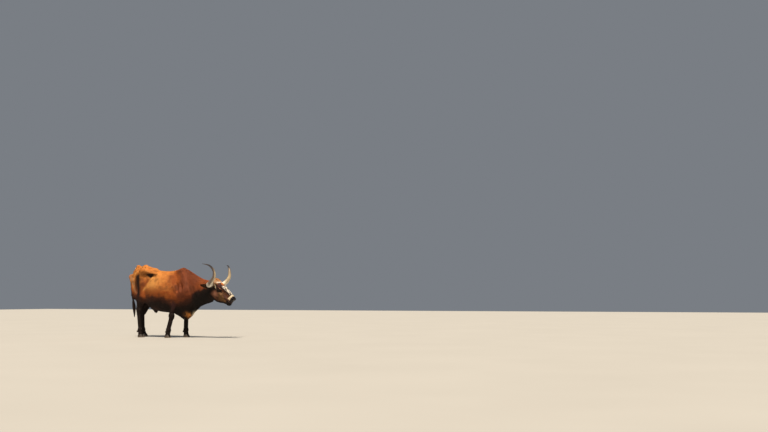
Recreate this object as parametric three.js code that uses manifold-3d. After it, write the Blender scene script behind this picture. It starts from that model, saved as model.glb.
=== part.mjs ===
// A still, life-size texas longhorn steer, thin and high in the hips, standing with its head low.
// It faces +X, its left side is +Y, and its hooves stand on Z = 0. All sizes are in millimetres.
import * as THREE from "three";
import { mergeVertices } from "three/addons/utils/BufferGeometryUtils.js";
import Module from "manifold-3d";

const wasm = await Module();
wasm.setup();

// Driving sizes of the animal.
const WITHERS_TOP = 1383;
const BACK_LOW = 1318; // the back's lowest point, behind the withers
const BARREL_HALF = 322; // half the width of the rib cage
const HOOK = [-720, 222, 1326]; // hip bone
const PIN = [-1078, 108, 1206]; // seat bone
const SACRUM = [-812, 0, 1403];
const TAIL_HEAD = [-984, 0, 1404];
const POLL = [856, 0, 1170]; // top of the head, between the horns
const HEAD_LENGTH = 600; // poll to nose
const HEAD_PITCH = THREE.MathUtils.degToRad(41); // how far the face points below level
const EYE = { along: 256, out: 94, up: -90, radius: 22 };
const CORONET = 58; // height of the hoof's upper edge at its middle
const GAP = 0.35; // between nodes that touch
const RIGHT = -1;
const LEFT = 1;
const NECK_CUT = 330; // where the neck starts on the torso

// The cut between neck and head leans: it passes through these two points, seen from the side.
const NAPE = [748, 0, 1150];
const THROAT = [802, 0, 690];

// Where each leg's joints stand: [forward, out, up].
const LEGS = {
  front_right: {
    side: RIGHT,
    elbow: [-24, 186, 800],
    knee: [-44, 172, 424],
    fetlock: [-108, 172, 152],
    foot: [-126, 172, 0],
  },
  front_left: {
    side: LEFT,
    elbow: [14, 186, 800],
    knee: [70, 172, 432],
    fetlock: [64, 172, 152],
    foot: [76, 172, 0],
  },
  hind_right: {
    side: RIGHT,
    stifle: [-712, 190, 800],
    hock: [-822, 168, 520],
    fetlock: [-796, 162, 152],
    foot: [-772, 162, 0],
  },
  hind_left: {
    side: LEFT,
    stifle: [-734, 184, 792],
    hock: [-966, 142, 530],
    fetlock: [-944, 134, 152],
    foot: [-906, 132, 0],
    calf: [-932, 148, 480], // the low end of the muscle in front of the hock
  },
};

// Smooth curve through stations, read at any place between them.
function curveThrough(places, values) {
  const last = places.length - 1;
  const slope = places.map((_, i) => {
    const a = Math.max(i - 1, 0);
    const b = Math.min(i + 1, last);
    return (values[b] - values[a]) / (places[b] - places[a]);
  });
  return (x) => {
    if (x <= places[0]) return values[0];
    if (x >= places[last]) return values[last];
    let i = 0;
    while (places[i + 1] < x) i++;
    const step = places[i + 1] - places[i];
    const t = (x - places[i]) / step;
    const u = 1 - t;
    return (
      values[i] * u * u * (1 + 2 * t) +
      values[i + 1] * t * t * (3 - 2 * t) +
      step * t * u * (slope[i] * u - slope[i + 1] * t)
    );
  };
}

// Forms are functions of a point that give the distance to their surface, less than zero inside.
const power = (value, n) => Math.pow(Math.abs(value), n);

// A body made of sections along one axis: each has a top, a low edge, a half width, the height of
// its widest place, and how square it is above and below that. Its ends are rounded.
function sections(rows) {
  const [at, top, low, half, mid, upper, lower] = rows[0].map((_, c) => rows.map((r) => r[c]));
  const [topOf, lowOf, halfOf, midOf, upperOf, lowerOf] = [top, low, half, mid, upper, lower].map(
    (column) => curveThrough(at, column),
  );
  const start = at[0];
  const end = at[at.length - 1];
  return (s, y, h) => {
    const inside = THREE.MathUtils.clamp(s, start, end);
    const middle = midOf(inside);
    const rise = h - middle;
    const reach = rise > 0 ? topOf(inside) - middle : middle - lowOf(inside);
    const n = rise > 0 ? upperOf(inside) : lowerOf(inside);
    const half = halfOf(inside);
    const past = s - inside;
    const section = Math.pow(power(y / half, n) + power(rise / reach, n), 1 / n);
    const norm = Math.hypot(section, (past / half) * 1.4);
    return norm > 1e-6 ? Math.hypot(y, rise, past) * (1 - 1 / norm) : -half;
  };
}

// A rounded bone or muscle from a to b, with [fore-and-aft, sideways] radii at each end.
function bone(a, b, ra, rb = ra) {
  const from = new THREE.Vector3(...a);
  const axis = new THREE.Vector3(...b).sub(from);
  const length = axis.length();
  axis.normalize();
  const side = new THREE.Vector3(0, 1, 0).addScaledVector(axis, -axis.y).normalize();
  const fore = new THREE.Vector3().crossVectors(axis, side);
  const q = new THREE.Vector3();
  return (x, y, z) => {
    q.set(x, y, z).sub(from);
    const along = q.dot(axis);
    const t = THREE.MathUtils.clamp(along / length, 0, 1);
    const rf = ra[0] + (rb[0] - ra[0]) * t;
    const rs = ra[1] + (rb[1] - ra[1]) * t;
    const over = along - t * length;
    const u = q.dot(fore);
    const v = q.dot(side);
    const norm = Math.hypot(u / rf, v / rs, over / Math.min(rf, rs));
    return norm > 1e-6 ? Math.hypot(u, v, over) * (1 - 1 / norm) : -Math.min(rf, rs);
  };
}

// A rounded lump with its own radii, tipped nose down by a pitch.
function lump(centre, radii, pitch = 0) {
  const c = Math.cos(pitch);
  const s = Math.sin(pitch);
  return (x, y, z) => {
    const dx = x - centre[0];
    const dz = z - centre[2];
    const u = dx * c - dz * s;
    const v = y - centre[1];
    const w = dx * s + dz * c;
    const norm = Math.hypot(u / radii[0], v / radii[1], w / radii[2]);
    return norm > 1e-6 ? Math.hypot(u, v, w) * (1 - 1 / norm) : -Math.min(...radii);
  };
}

function blendIn(a, b, soft) {
  const h = Math.max(soft - Math.abs(a - b), 0);
  return Math.min(a, b) - (h * h) / (4 * Math.max(soft, 1));
}

// One smooth body from a list of [form, softness], where a negative softness hollows it.
function smoothBody(list) {
  return (x, y, z) => {
    let d = 1e6;
    for (const [form, soft] of list) {
      const f = form(x, y, z);
      d = soft < 0 ? -blendIn(-d, f, -soft) : blendIn(d, f, soft);
    }
    return d;
  };
}

// A form written for the left side that stands on both sides, or on one of them.
const bothSides = (form) => (x, y, z) => form(x, Math.abs(y), z);
const onSide = (side, form) => (x, y, z) => form(x, y * side, z);

// Trunk: the barrel, rump and neck in one run of sections along X.
const trunk = sections([
  // forward, top, low, half, widest, squareness above, below
  [-1046, 1352, 1080, 66, 1210, 2.0, 2.0],
  [-1000, 1392, 960, 118, 1205, 1.8, 2.0],
  [-930, 1400, 860, 160, 1205, 1.5, 2.0],
  [-820, 1420, 750, 196, 1180, 1.45, 2.0],
  [-700, 1398, 640, 232, 1060, 1.5, 2.2],
  [-560, 1356, 548, 284, 950, 1.65, 2.2],
  [-400, 1326, 510, 317, 900, 1.75, 2.1],
  [-220, BACK_LOW, 492, BARREL_HALF, 890, 1.7, 2.0],
  [-60, 1333, 470, 290, 890, 1.55, 1.9],
  [100, WITHERS_TOP, 456, 236, 890, 1.3, 1.7],
  [210, 1342, 460, 198, 890, 1.35, 1.55],
  [320, 1282, 512, 164, 900, 1.6, 1.5],
  [430, 1220, 592, 138, 930, 1.9, 1.6],
  [540, 1164, 660, 120, 940, 2.0, 1.8],
  [660, 1132, 690, 108, 945, 2.0, 2.0],
  [770, 1122, 722, 90, 960, 2.0, 2.0],
]);

// The hanging fold of skin from the throat down to the brisket.
const dewlap = sections([
  [-30, 640, 452, 62, 560, 2.0, 2.0],
  [70, 660, 396, 72, 520, 2.0, 2.0],
  [150, 700, 352, 70, 470, 2.0, 1.9],
  [215, 730, 350, 60, 460, 2.0, 1.9],
  [300, 780, 408, 42, 500, 2.0, 1.8],
  [400, 830, 512, 30, 600, 2.0, 1.8],
  [520, 860, 608, 26, 690, 2.0, 1.8],
  [640, 880, 658, 24, 750, 2.0, 1.8],
  [720, 880, 684, 22, 780, 2.0, 1.8],
  [790, 870, 708, 22, 790, 2.0, 1.8],
]);

const [hookX, hookY, hookZ] = HOOK;
const [pinX, pinY, pinZ] = PIN;
const hipForms = [
  [bothSides(bone([hookX, hookY, hookZ], [SACRUM[0] - 10, 40, 1398], [46, 30], [44, 30])), 66],
  [bothSides(lump([hookX + 2, hookY + 2, hookZ - 4], [48, 36, 40], 0.4)), 30],
  [bothSides(bone([hookX - 20, hookY - 14, hookZ - 16], [pinX, pinY, pinZ + 4], [46, 40], [42, 36])), 74],
  [bothSides(lump([pinX - 4, pinY, pinZ], [46, 38, 44])), 30],
  [bothSides(bone([hookX + 20, 184, 1318], [-420, 148, 1262], [30, 42], [20, 54])), 84],
  [lump(SACRUM, [64, 40, 44]), 34],
  [lump(TAIL_HEAD, [50, 38, 46]), 30],
];
const flankHollow = [bothSides(lump([-624, 366, 1164], [112, 100, 116], -0.3)), -110];
const sheath = [
  [bone([-640, 0, 600], [-540, 0, 530], [34, 30], [26, 24]), 50],
  [bone([-545, 0, 535], [-514, 0, 510], [20, 18], [13, 13]), 20],
];
const shoulderForms = [
  [bothSides(bone([58, 74, 1290], [236, 176, 900], [88, 40], [92, 58])), 60],
  [bothSides(bone([250, 150, 920], [292, 150, 840], [70, 62], [64, 56])), 50],
  [bothSides(bone([40, 190, 960], [-20, 196, 830], [110, 52], [66, 50])), 60],
  [bothSides(bone([210, 180, 850], [0, 190, 800], [80, 60], [62, 52])), 50],
];
const thighForms = [
  [bothSides(bone([-806, 160, 1190], [-716, 182, 830], [118, 78], [84, 66])), 70],
  [bothSides(bone([-1032, 104, 1140], [-950, 140, 800], [66, 58], [62, 52])), 56],
  [bothSides(bone([-890, 150, 1110], [-850, 158, 800], [100, 68], [88, 58])), 60],
  [bothSides(lump([-956, 236, 1030], [24, 46, 180], 0.24)), -46],
  [bothSides(bone([-700, 180, 800], [-570, 150, 650], [40, 26], [36, 24])), 70],
];

// Head: its own frame runs along the face from the poll, out to each side, and up off the face.
const HEAD_COS = Math.cos(HEAD_PITCH);
const HEAD_SIN = Math.sin(HEAD_PITCH);
const headPoint = (along, out, up) => [
  POLL[0] + along * HEAD_COS + up * HEAD_SIN,
  POLL[1] + out,
  POLL[2] - along * HEAD_SIN + up * HEAD_COS,
];
const intoHead = (form) => (x, y, z) => {
  const dx = x - POLL[0];
  const dz = z - POLL[2];
  return form(dx * HEAD_COS - dz * HEAD_SIN, y, dx * HEAD_SIN + dz * HEAD_COS);
};

const skull = sections([
  // along, top, low, half, widest, squareness above, below
  [0, -8, -190, 66, -90, 2.0, 2.0],
  [50, 8, -250, 92, -66, 2.3, 1.9],
  [130, 13, -306, 102, -70, 2.4, 1.7],
  [215, 12, -334, 98, -82, 2.4, 1.6],
  [300, 7, -338, 83, -104, 2.2, 1.6],
  [380, 3, -306, 68, -110, 2.2, 1.7],
  [450, 1, -260, 60, -100, 2.2, 1.9],
  [510, -1, -232, 60, -92, 2.3, 2.1],
  [556, -8, -218, 62, -88, 2.3, 2.1],
]);

const headForms = [
  [skull, 0],
  [bothSides(bone([26, 40, -46], [28, 92, -60], [46, 44], [42, 42])), 36],
  [bothSides(bone([200, 84, -44], [266, 92, -54], [24, 18], [22, 18])), 34],
  [bothSides(bone([258, 90, -126], [340, 72, -142], [20, 18], [18, 16])), 34],
  [bothSides(lump([228, 58, -190], [84, 42, 82])), 44],
  [bothSides(bone([150, 44, -280], [300, 36, -304], [28, 22], [22, 18])), 34],
  [bothSides(lump([EYE.along, EYE.out - 8, EYE.up], [34, 25, 29])), 14],
  [bothSides(lump([552, 44, -56], [40, 26, 38])), 26],
  [bone([530, 0, -32], [566, 0, -50], [28, 50], [32, 44]), 26],
  [lump([560, 0, -172], [50, 48, 44]), 22],
];
const headForm = intoHead(smoothBody(headForms));

const animal = smoothBody([
  [trunk, 0],
  [dewlap, 46],
  ...hipForms,
  ...shoulderForms,
  ...thighForms,
  flankHollow,
  ...sheath,
  [headForm, 64],
]);

// Legs: joints joined by rounded bones, with the muscles and tendons that show.
function foreleg({ elbow, knee, fetlock, foot }) {
  const [kx, ky, kz] = knee;
  const [fx, fy, fz] = fetlock;
  return smoothBody([
    [bone([elbow[0] + 30, elbow[1], elbow[2] + 40], [kx, ky, kz + 40], [96, 58], [46, 42]), 0],
    [bone([elbow[0] - 44, elbow[1], elbow[2] + 10], [kx - 20, ky, kz + 170], [54, 42], [34, 30]), 40],
    [lump([kx + 4, ky, kz], [58, 52, 68]), 30],
    [lump([kx - 36, ky, kz + 6], [24, 24, 32]), 26],
    [bone([kx, ky, kz - 40], [fx + 6, fy, fz + 20], [43, 39], [38, 37]), 26],
    [bone([kx - 32, ky, kz - 50], [fx - 26, fy, fz + 20], [22, 23], [24, 25]), 18],
    [lump([fx, fy, fz], [49, 48, 44]), 24],
    [bone([fx + 2, fy, fz - 20], [foot[0] - 4, foot[1], 40], [42, 45], [50, 54]), 24],
  ]);
}

function hindLeg({ stifle, hock, fetlock, foot, calf }) {
  const [sx, sy, sz] = stifle;
  const [hx, hy, hz] = hock;
  const [fx, fy, fz] = fetlock;
  return smoothBody([
    [lump([sx + 4, sy, sz], [72, 60, 92]), 0],
    ...(calf ? [[bone([calf[0] + 120, calf[1] + 28, 720], calf, [58, 46], [34, 32]), 50]] : []),
    [bone([sx - 34, sy - 4, sz - 10], [hx + 12, hy, hz + 64], [104, 62], [42, 36]), 60],
    [bone([sx - 134, sy - 16, sz + 30], [hx - 30, hy, hz + 96], [62, 44], [21, 19]), 50],
    [bone([hx - 42, hy, hz + 92], [hx - 46, hy, hz + 40], [21, 20], [24, 23]), 30],
    [bone([hx - 44, hy, hz + 42], [hx - 20, hy, hz - 50], [24, 24], [26, 26]), 26],
    [lump([hx + 4, hy, hz + 4], [50, 44, 62]), 34],
    [bone([hx, hy, hz - 46], [fx + 4, fy, fz + 20], [34, 31], [29, 30]), 26],
    [bone([hx - 28, hy, hz - 60], [fx - 20, fy, fz + 20], [18, 20], [20, 22]), 18],
    [lump([fx, fy, fz], [44, 43, 40]), 24],
    [bone([fx + 2, fy, fz - 20], [foot[0] - 4, foot[1], 40], [37, 41], [49, 53]), 24],
  ]);
}

// Meshes are made by looking outwards from an axis to where a form ends.
function surfaceReach(field, origin, direction, limit) {
  const at = (r) =>
    field(origin.x + direction.x * r, origin.y + direction.y * r, origin.z + direction.z * r);
  let far = limit;
  if (at(far) < 0) return far;
  const step = Math.max(limit / 48, 4);
  while (far > 0 && at(far) >= 0) far -= step;
  let near = Math.max(far, 0);
  far = near + step;
  for (let i = 0; i < 14; i++) {
    const half = (near + far) / 2;
    if (at(half) < 0) near = half;
    else far = half;
  }
  return Math.max(near, 1);
}

// A closed mesh from rings of points, with each quad split along its shorter diagonal.
function closedMesh(rings, startPoint, endPoint) {
  const sides = rings[0].length;
  const points = rings.flat();
  const index = [];
  for (let i = 0; i < rings.length - 1; i++) {
    for (let j = 0; j < sides; j++) {
      const a = i * sides + j;
      const b = i * sides + ((j + 1) % sides);
      const c = a + sides;
      const d = b + sides;
      const crossed = points[a].distanceTo(points[d]) < points[b].distanceTo(points[c]);
      if (crossed) index.push(a, b, d, a, d, c);
      else index.push(a, b, c, b, d, c);
    }
  }
  const start = points.length;
  const lastRing = start - sides;
  for (let j = 0; j < sides; j++) {
    const k = (j + 1) % sides;
    index.push(start, k, j);
    index.push(start + 1, lastRing + j, lastRing + k);
  }
  const positions = [...points, startPoint, endPoint].flatMap((p) => [p.x, p.y, p.z]);
  const geometry = new THREE.BufferGeometry();
  geometry.setAttribute("position", new THREE.Float32BufferAttribute(positions, 3));
  geometry.setIndex(index);
  return solidOf(geometry);
}

function solidOf(geometry) {
  const bare = geometry.clone();
  for (const name of Object.keys(bare.attributes)) {
    if (name !== "position") bare.deleteAttribute(name);
  }
  const merged = mergeVertices(bare, 1e-3);
  let triVerts = new Uint32Array(merged.index.array);
  const vertProperties = merged.attributes.position.array;
  let made = new wasm.Manifold(new wasm.Mesh({ numProp: 3, vertProperties, triVerts }));
  if (made.volume() < 0) {
    triVerts = triVerts.slice().reverse();
    made = new wasm.Manifold(new wasm.Mesh({ numProp: 3, vertProperties, triVerts }));
  }
  return made;
}

// Wraps a form along an axis: rings across the axis, and a dome or a flat cut at each end.
// The rings' points are closest together above and below the axis, where the folds are thinnest.
function wrap(field, axisPoints, options) {
  const { count, sides, reach, swell = 0, domeStart = 0, domeEnd = 0, places, lean } = options;
  const points = axisPoints.map((p) => new THREE.Vector3(...p));
  const curve = new THREE.CatmullRomCurve3(points, false, "centripetal");
  const side = new THREE.Vector3(0, 1, 0);
  const aheadAt = (t) => (lean ? new THREE.Vector3(...lean) : curve.getTangent(t));
  const ringAt = (t, tilt) => {
    const origin = curve.getPoint(t);
    const ahead = aheadAt(t);
    const across = side.clone().addScaledVector(ahead, -ahead.dot(side)).normalize();
    const up = new THREE.Vector3().crossVectors(ahead, across);
    return Array.from({ length: sides }, (_, j) => {
      const even = (j / sides) * Math.PI * 2;
      const angle = even + 0.16 * Math.sin(2 * even);
      const direction = across
        .clone()
        .multiplyScalar(Math.cos(angle) * Math.cos(tilt))
        .addScaledVector(up, Math.sin(angle) * Math.cos(tilt))
        .addScaledVector(ahead, Math.sin(tilt));
      const r = surfaceReach(field, origin, direction, reach(t)) + swell;
      return origin.clone().addScaledVector(direction, r);
    });
  };
  const rings = [];
  for (let i = domeStart; i > 0; i--) {
    rings.push(ringAt(0, (-Math.PI / 2) * (i / (domeStart + 1))));
  }
  const stops = places ?? Array.from({ length: count }, (_, i) => i / (count - 1));
  for (const t of stops) rings.push(ringAt(t, 0));
  for (let i = 1; i <= domeEnd; i++) rings.push(ringAt(1, (Math.PI / 2) * (i / (domeEnd + 1))));
  const pole = (t, sign) => {
    const ahead = aheadAt(t).multiplyScalar(sign);
    const r = surfaceReach(field, curve.getPoint(t), ahead, reach(t)) + swell;
    return curve.getPoint(t).addScaledVector(ahead, r);
  };
  const startPoint = domeStart ? pole(0, -1) : curve.getPoint(0);
  const endPoint = domeEnd ? pole(1, 1) : curve.getPoint(1);
  return closedMesh(rings, startPoint, endPoint);
}

// A tapering tube along points, with [across, thick] radii at each point.
function tube(pointList, radii, { sides = 10, count = 20, flatSide = [0, 1, 0], swell = 0 } = {}) {
  const points = pointList.map((p) => new THREE.Vector3(...p));
  const curve = new THREE.CatmullRomCurve3(points, false, "centripetal");
  const last = pointList.length - 1;
  const stops = radii.map((_, i) => i / last);
  const wide = curveThrough(stops, radii.map((r) => r[0] + swell));
  const thick = curveThrough(stops, radii.map((r) => r[1] + swell));
  const rings = [];
  const across = new THREE.Vector3(...flatSide);
  for (let i = 0; i < count; i++) {
    const t = i / (count - 1);
    const origin = curve.getPoint(t);
    const ahead = curve.getTangent(t);
    across.addScaledVector(ahead, -ahead.dot(across)).normalize();
    const up = new THREE.Vector3().crossVectors(ahead, across);
    rings.push(
      Array.from({ length: sides }, (_, j) => {
        const angle = (j / sides) * Math.PI * 2;
        return origin
          .clone()
          .addScaledVector(across, Math.cos(angle) * wide(t))
          .addScaledVector(up, Math.sin(angle) * thick(t));
      }),
    );
  }
  return closedMesh(rings, curve.getPoint(0), curve.getPoint(1));
}

// A rounded pebble with its own radii, tipped nose down by a pitch.
function pebble(centre, radii, { pitch = 0, across = 16, down = 10 } = {}) {
  const geometry = new THREE.SphereGeometry(1, across, down);
  geometry.scale(...radii);
  geometry.rotateY(pitch);
  geometry.translate(...centre);
  return solidOf(geometry);
}

const largest = (solid) => solid.decompose().reduce((a, b) => (b.volume() > a.volume() ? b : a));
const join = (pieces) => pieces.reduce((a, b) => a.add(b));

// Keeps what lies on one side of the leaning cut between neck and head.
const CUT_NORMAL = new THREE.Vector3(NAPE[2] - THROAT[2], 0, THROAT[0] - NAPE[0]).normalize();
const CUT_OFFSET = CUT_NORMAL.dot(new THREE.Vector3(...NAPE));
const aheadOfCut = (solid) => solid.trimByPlane(CUT_NORMAL.toArray(), CUT_OFFSET + GAP / 2);
const behindCut = (solid) =>
  solid.trimByPlane(CUT_NORMAL.clone().negate().toArray(), GAP / 2 - CUT_OFFSET);

const finish = (name, color, roughness) =>
  new THREE.MeshStandardMaterial({ name, color, roughness, metalness: 0 });
const hide = finish("hide", 0x9a5a2a, 0.85);
const darkHide = finish("dark_hide", 0x3a241a, 0.85);
const faceHide = finish("face_hide", 0x7a5a44, 0.85);
const hornSheath = finish("horn", 0xd8cba8, 0.45);
const hoofHorn = finish("hoof", 0x2a241f, 0.55);
const eyeShine = finish("eye", 0x120c08, 0.12);
const tailHair = finish("tail_hair", 0x2a1a12, 0.8);

const group = new THREE.Group();
function addNode(name, solid, material) {
  const mesh = largest(solid).getMesh();
  const geometry = new THREE.BufferGeometry();
  geometry.setAttribute("position", new THREE.BufferAttribute(mesh.vertProperties, 3));
  geometry.setIndex(new THREE.BufferAttribute(mesh.triVerts, 1));
  const node = new THREE.Mesh(geometry, material);
  node.name = name;
  group.add(node);
}

// Torso, with its rings closest together over the hips.
const TORSO_AXIS = [
  [-985, 0, 1190],
  [-800, 0, 1130],
  [-560, 0, 980],
  [-300, 0, 900],
  [-50, 0, 880],
  [NECK_CUT, 0, 880],
];
const steps = (from, to, count) =>
  Array.from({ length: count }, (_, i) => from + ((to - from) * i) / count);
const torsoOptions = {
  sides: 46,
  reach: () => 640,
  domeStart: 6,
  lean: [1, 0, 0],
  places: [...steps(0, 0.48, 17), ...steps(0.48, 0.74, 5), ...steps(0.74, 1, 9), 1],
};
const torso = wrap(animal, TORSO_AXIS, torsoOptions);
const torsoSwollen = wrap(animal, TORSO_AXIS, { ...torsoOptions, swell: GAP });
addNode("torso", torso, hide);

// Neck and head share one form and meet on the leaning cut.
const NECK_AXIS = [
  [NECK_CUT + GAP, 0, 880],
  [600, 0, 920],
  [850, 0, 950],
];
const neckOptions = { count: 14, sides: 44, reach: () => 560, lean: [1, 0, 0] };
addNode("neck", behindCut(wrap(animal, NECK_AXIS, neckOptions)), hide);

const HEAD_AXIS = [
  [700, 0, 946],
  [790, 0, 936],
  [890, 0, 904],
  [990, 0, 858],
  [1098, 0, 804],
  [1206, 0, 749],
];
const headOptions = { count: 26, sides: 36, reach: (t) => 420 - 180 * t, domeEnd: 4 };
const headWhole = wrap(animal, HEAD_AXIS, headOptions);
const headSwollen = wrap(animal, HEAD_AXIS, { ...headOptions, swell: GAP });
const headShrunk = wrap(animal, HEAD_AXIS, { ...headOptions, swell: -12 });

// The lids open on the eye in an almond shape, lower at its front corner.
const eyeCentre = (side) => headPoint(EYE.along, side * (EYE.out - 6), EYE.up);
const eyeOpening = (side) =>
  pebble(headPoint(EYE.along, side * (EYE.out + 16), EYE.up), [29, 22, 15], {
    pitch: HEAD_PITCH - 0.5,
  });
const nostril = (side) =>
  pebble(headPoint(574, side * 34, -46), [12, 9, 20], { pitch: HEAD_PITCH + 0.5, across: 14 });
// The mouth is a groove round the muzzle, cut only as deep as the lips.
const mouthLine = [
  [596, -122],
  [540, -124],
  [470, -134],
  [420, -150],
];
const mouth = tube(
  mouthLine.map(([along, up]) => headPoint(along, 0, up)),
  [[84, 2.2], [90, 2.2], [80, 2.2], [66, 1.2]],
  { sides: 16, count: 8 },
).subtract(headShrunk);
const hollows = [RIGHT, LEFT].flatMap((side) => [
  pebble(eyeCentre(side), [EYE.radius + GAP, EYE.radius + GAP, EYE.radius + GAP]),
  eyeOpening(side),
  nostril(side),
]);
const head = [...hollows, mouth].reduce((rest, cut) => rest.subtract(cut), aheadOfCut(headWhole));
addNode("head", head, faceHide);

const sideName = (side) => (side === RIGHT ? "right" : "left");
for (const side of [RIGHT, LEFT]) {
  const radii = [EYE.radius, EYE.radius, EYE.radius];
  addNode(`eye_${sideName(side)}`, pebble(eyeCentre(side), radii), eyeShine);
}

// Horns run out and a little down, then forward, up, and back at the tip.
const HORN_PATH = [
  [866, 70, 1088],
  [850, 150, 1056],
  [842, 226, 1034],
  [904, 262, 1080],
  [984, 270, 1186],
  [980, 286, 1308],
  [922, 342, 1400],
  [818, 434, 1436],
];
const HORN_RADII = [50, 50, 51, 44, 33, 25, 16, 4];
const hornSolid = (side, swell) =>
  tube(
    HORN_PATH.map(([x, y, z]) => [x, y * side, z]),
    HORN_RADII.map((r) => [r, r]),
    { sides: 12, count: 22, flatSide: [0, 0, 1], swell },
  );
for (const side of [RIGHT, LEFT]) {
  addNode(`horn_${sideName(side)}`, hornSolid(side, 0).subtract(headSwollen), hornSheath);
}

// An ear is a leaf rolled into a cup: nearly closed at its root, open and pointed at its tip.
const EAR = {
  root: [820, 84, 1012],
  tip: [664, 262, 1030],
  opensTo: [0.62, 0.5, -0.6],
  width: [[0, 70], [0.2, 104], [0.45, 128], [0.72, 96], [0.92, 36], [1, 8]],
  roll: [[0, 2.7], [0.2, 2.0], [0.45, 1.35], [0.72, 1.1], [1, 0.8]],
  thick: 6,
};
function earSolid(side) {
  const mirrored = ([x, y, z]) => new THREE.Vector3(x, y * side, z);
  const root = mirrored(EAR.root);
  const tip = mirrored(EAR.tip);
  const ahead = tip.clone().sub(root).normalize();
  const open = mirrored(EAR.opensTo);
  open.addScaledVector(ahead, -ahead.dot(open)).normalize();
  const edge = new THREE.Vector3().crossVectors(ahead, open);
  const widthAt = curveThrough(EAR.width.map((w) => w[0]), EAR.width.map((w) => w[1]));
  const rollAt = curveThrough(EAR.roll.map((w) => w[0]), EAR.roll.map((w) => w[1]));
  const rings = [];
  const count = 12;
  const across = 7;
  for (let i = 0; i < count; i++) {
    const t = i / (count - 1);
    const half = rollAt(t);
    const radius = widthAt(t) / (2 * half);
    const wall = Math.min(EAR.thick, widthAt(t) * 0.2, radius * 0.6);
    const middle = root.clone().lerp(tip, t).addScaledVector(open, radius * 0.5);
    const arc = (r, from) =>
      Array.from({ length: across }, (_, j) => {
        const angle = from * half * (1 - (2 * j) / (across - 1));
        return middle
          .clone()
          .addScaledVector(open, -Math.cos(angle) * r)
          .addScaledVector(edge, Math.sin(angle) * r);
      });
    rings.push([...arc(radius, 1), ...arc(radius - wall, -1)]);
  }
  const centreOf = (ring) =>
    ring[Math.floor(across / 2)].clone().lerp(ring[across + Math.floor(across / 2)], 0.5);
  return closedMesh(rings, centreOf(rings[0]), centreOf(rings[count - 1]));
}
for (const side of [RIGHT, LEFT]) {
  const clear = earSolid(side).subtract(headSwollen).subtract(hornSolid(side, GAP));
  addNode(`ear_${sideName(side)}`, clear, darkHide);
}

// Hooves: two claws on each foot, pointed ahead, flat below, cut square above at the coronet.
const CLAW = { length: 122, width: 55, apart: 30, toeLean: 0.62, turn: 0.05 };
const CORONET_SLOPE = 0.28; // the coronet is higher at the toe
function claw(foot, side, outer) {
  const rings = [];
  const count = 4;
  for (let i = 0; i < count; i++) {
    const up = i / (count - 1);
    const length = CLAW.length * (1 - 0.3 * up);
    const width = CLAW.width * (1 - 0.14 * up);
    rings.push(
      Array.from({ length: 14 }, (_, j) => {
        const angle = (j / 14) * Math.PI * 2;
        const round = Math.sin(angle);
        const fore = Math.cos(angle);
        const pointed = fore > 0 ? 1 - 0.3 * fore * fore : 1;
        const bulge = round * outer > 0 ? 1 : 0.86;
        const along = (fore * length) / 2 - CLAW.toeLean * up * 26;
        const level = up * (CORONET + CORONET_SLOPE * along) - 0.02;
        const out = outer * CLAW.apart + (round * pointed * bulge * width) / 2;
        const turned = out + outer * CLAW.turn * along;
        return new THREE.Vector3(
          foot[0] + 8 + along,
          side * (foot[1] + turned),
          i === 0 ? 0 : Math.max(level, 1),
        );
      }),
    );
  }
  const centreOf = (ring) =>
    ring.reduce((sum, p) => sum.add(p), new THREE.Vector3()).multiplyScalar(1 / ring.length);
  return closedMesh(rings, centreOf(rings[0]), centreOf(rings[count - 1]));
}
// The leg ends on the coronet, a slanted plane just above the claws.
function endedAtCoronet(solid, foot) {
  const normal = new THREE.Vector3(-CORONET_SLOPE, 0, 1).normalize();
  const middle = new THREE.Vector3(foot[0] + 8, 0, CORONET + GAP);
  return solid.trimByPlane(normal.toArray(), normal.dot(middle));
}
const dewclaw = ([x, y, z], side, outer) =>
  pebble([x - 44, side * y + outer * 24, z - 34], [19, 16, 24], { pitch: -0.5, across: 7, down: 5 });

for (const [name, leg] of Object.entries(LEGS)) {
  const { side, knee, hock, fetlock, foot, elbow, stifle } = leg;
  const front = name.startsWith("front");
  const field = onSide(side, front ? foreleg(leg) : hindLeg(leg));
  const ankle = [foot[0] - 2, foot[1], 44];
  const axis = front
    ? [elbow, [knee[0], knee[1], knee[2] + 60], knee, fetlock, ankle]
    : [
        [stifle[0] - 30, stifle[1], stifle[2]],
        [hock[0] + 6, hock[1], hock[2] + 90],
        [hock[0] - 6, hock[1], hock[2]],
        fetlock,
        ankle,
      ];
  const legOptions = { count: 24, sides: 14, reach: (t) => 170 - 100 * t, domeStart: 3 };
  const solid = wrap(field, axis.map(([x, y, z]) => [x, y * side, z]), legOptions);
  const cut = endedAtCoronet(solid, foot).subtract(torsoSwollen);
  addNode(`leg_${name}`, cut, darkHide);
  for (const outer of [RIGHT, LEFT]) {
    const which = outer === LEFT ? "outer" : "inner";
    addNode(`claw_${name}_${which}`, claw(foot, side, outer), hoofHorn);
    const spur = dewclaw(fetlock, side, outer * side).subtract(cut);
    addNode(`dewclaw_${name}_${which}`, spur, hoofHorn);
  }
}

// Tail: over the tail head and down between the seat bones, swung a little to the left.
const TAIL_PATH = [
  [-988, 0, 1402],
  [-1034, 0, 1372],
  [-1078, 0, 1312],
  [-1118, 0, 1228],
  [-1143, 2, 1112],
  [-1150, 6, 970],
  [-1144, 16, 850],
  [-1126, 26, 750],
];
const TAIL_RADII = [28, 29, 27, 25, 22, 20, 17, 14];
const tail = tube(
  TAIL_PATH,
  TAIL_RADII.map((r) => [r, r]),
  { sides: 10, count: 22 },
);
addNode("tail", tail.subtract(torsoSwollen), hide);

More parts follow.
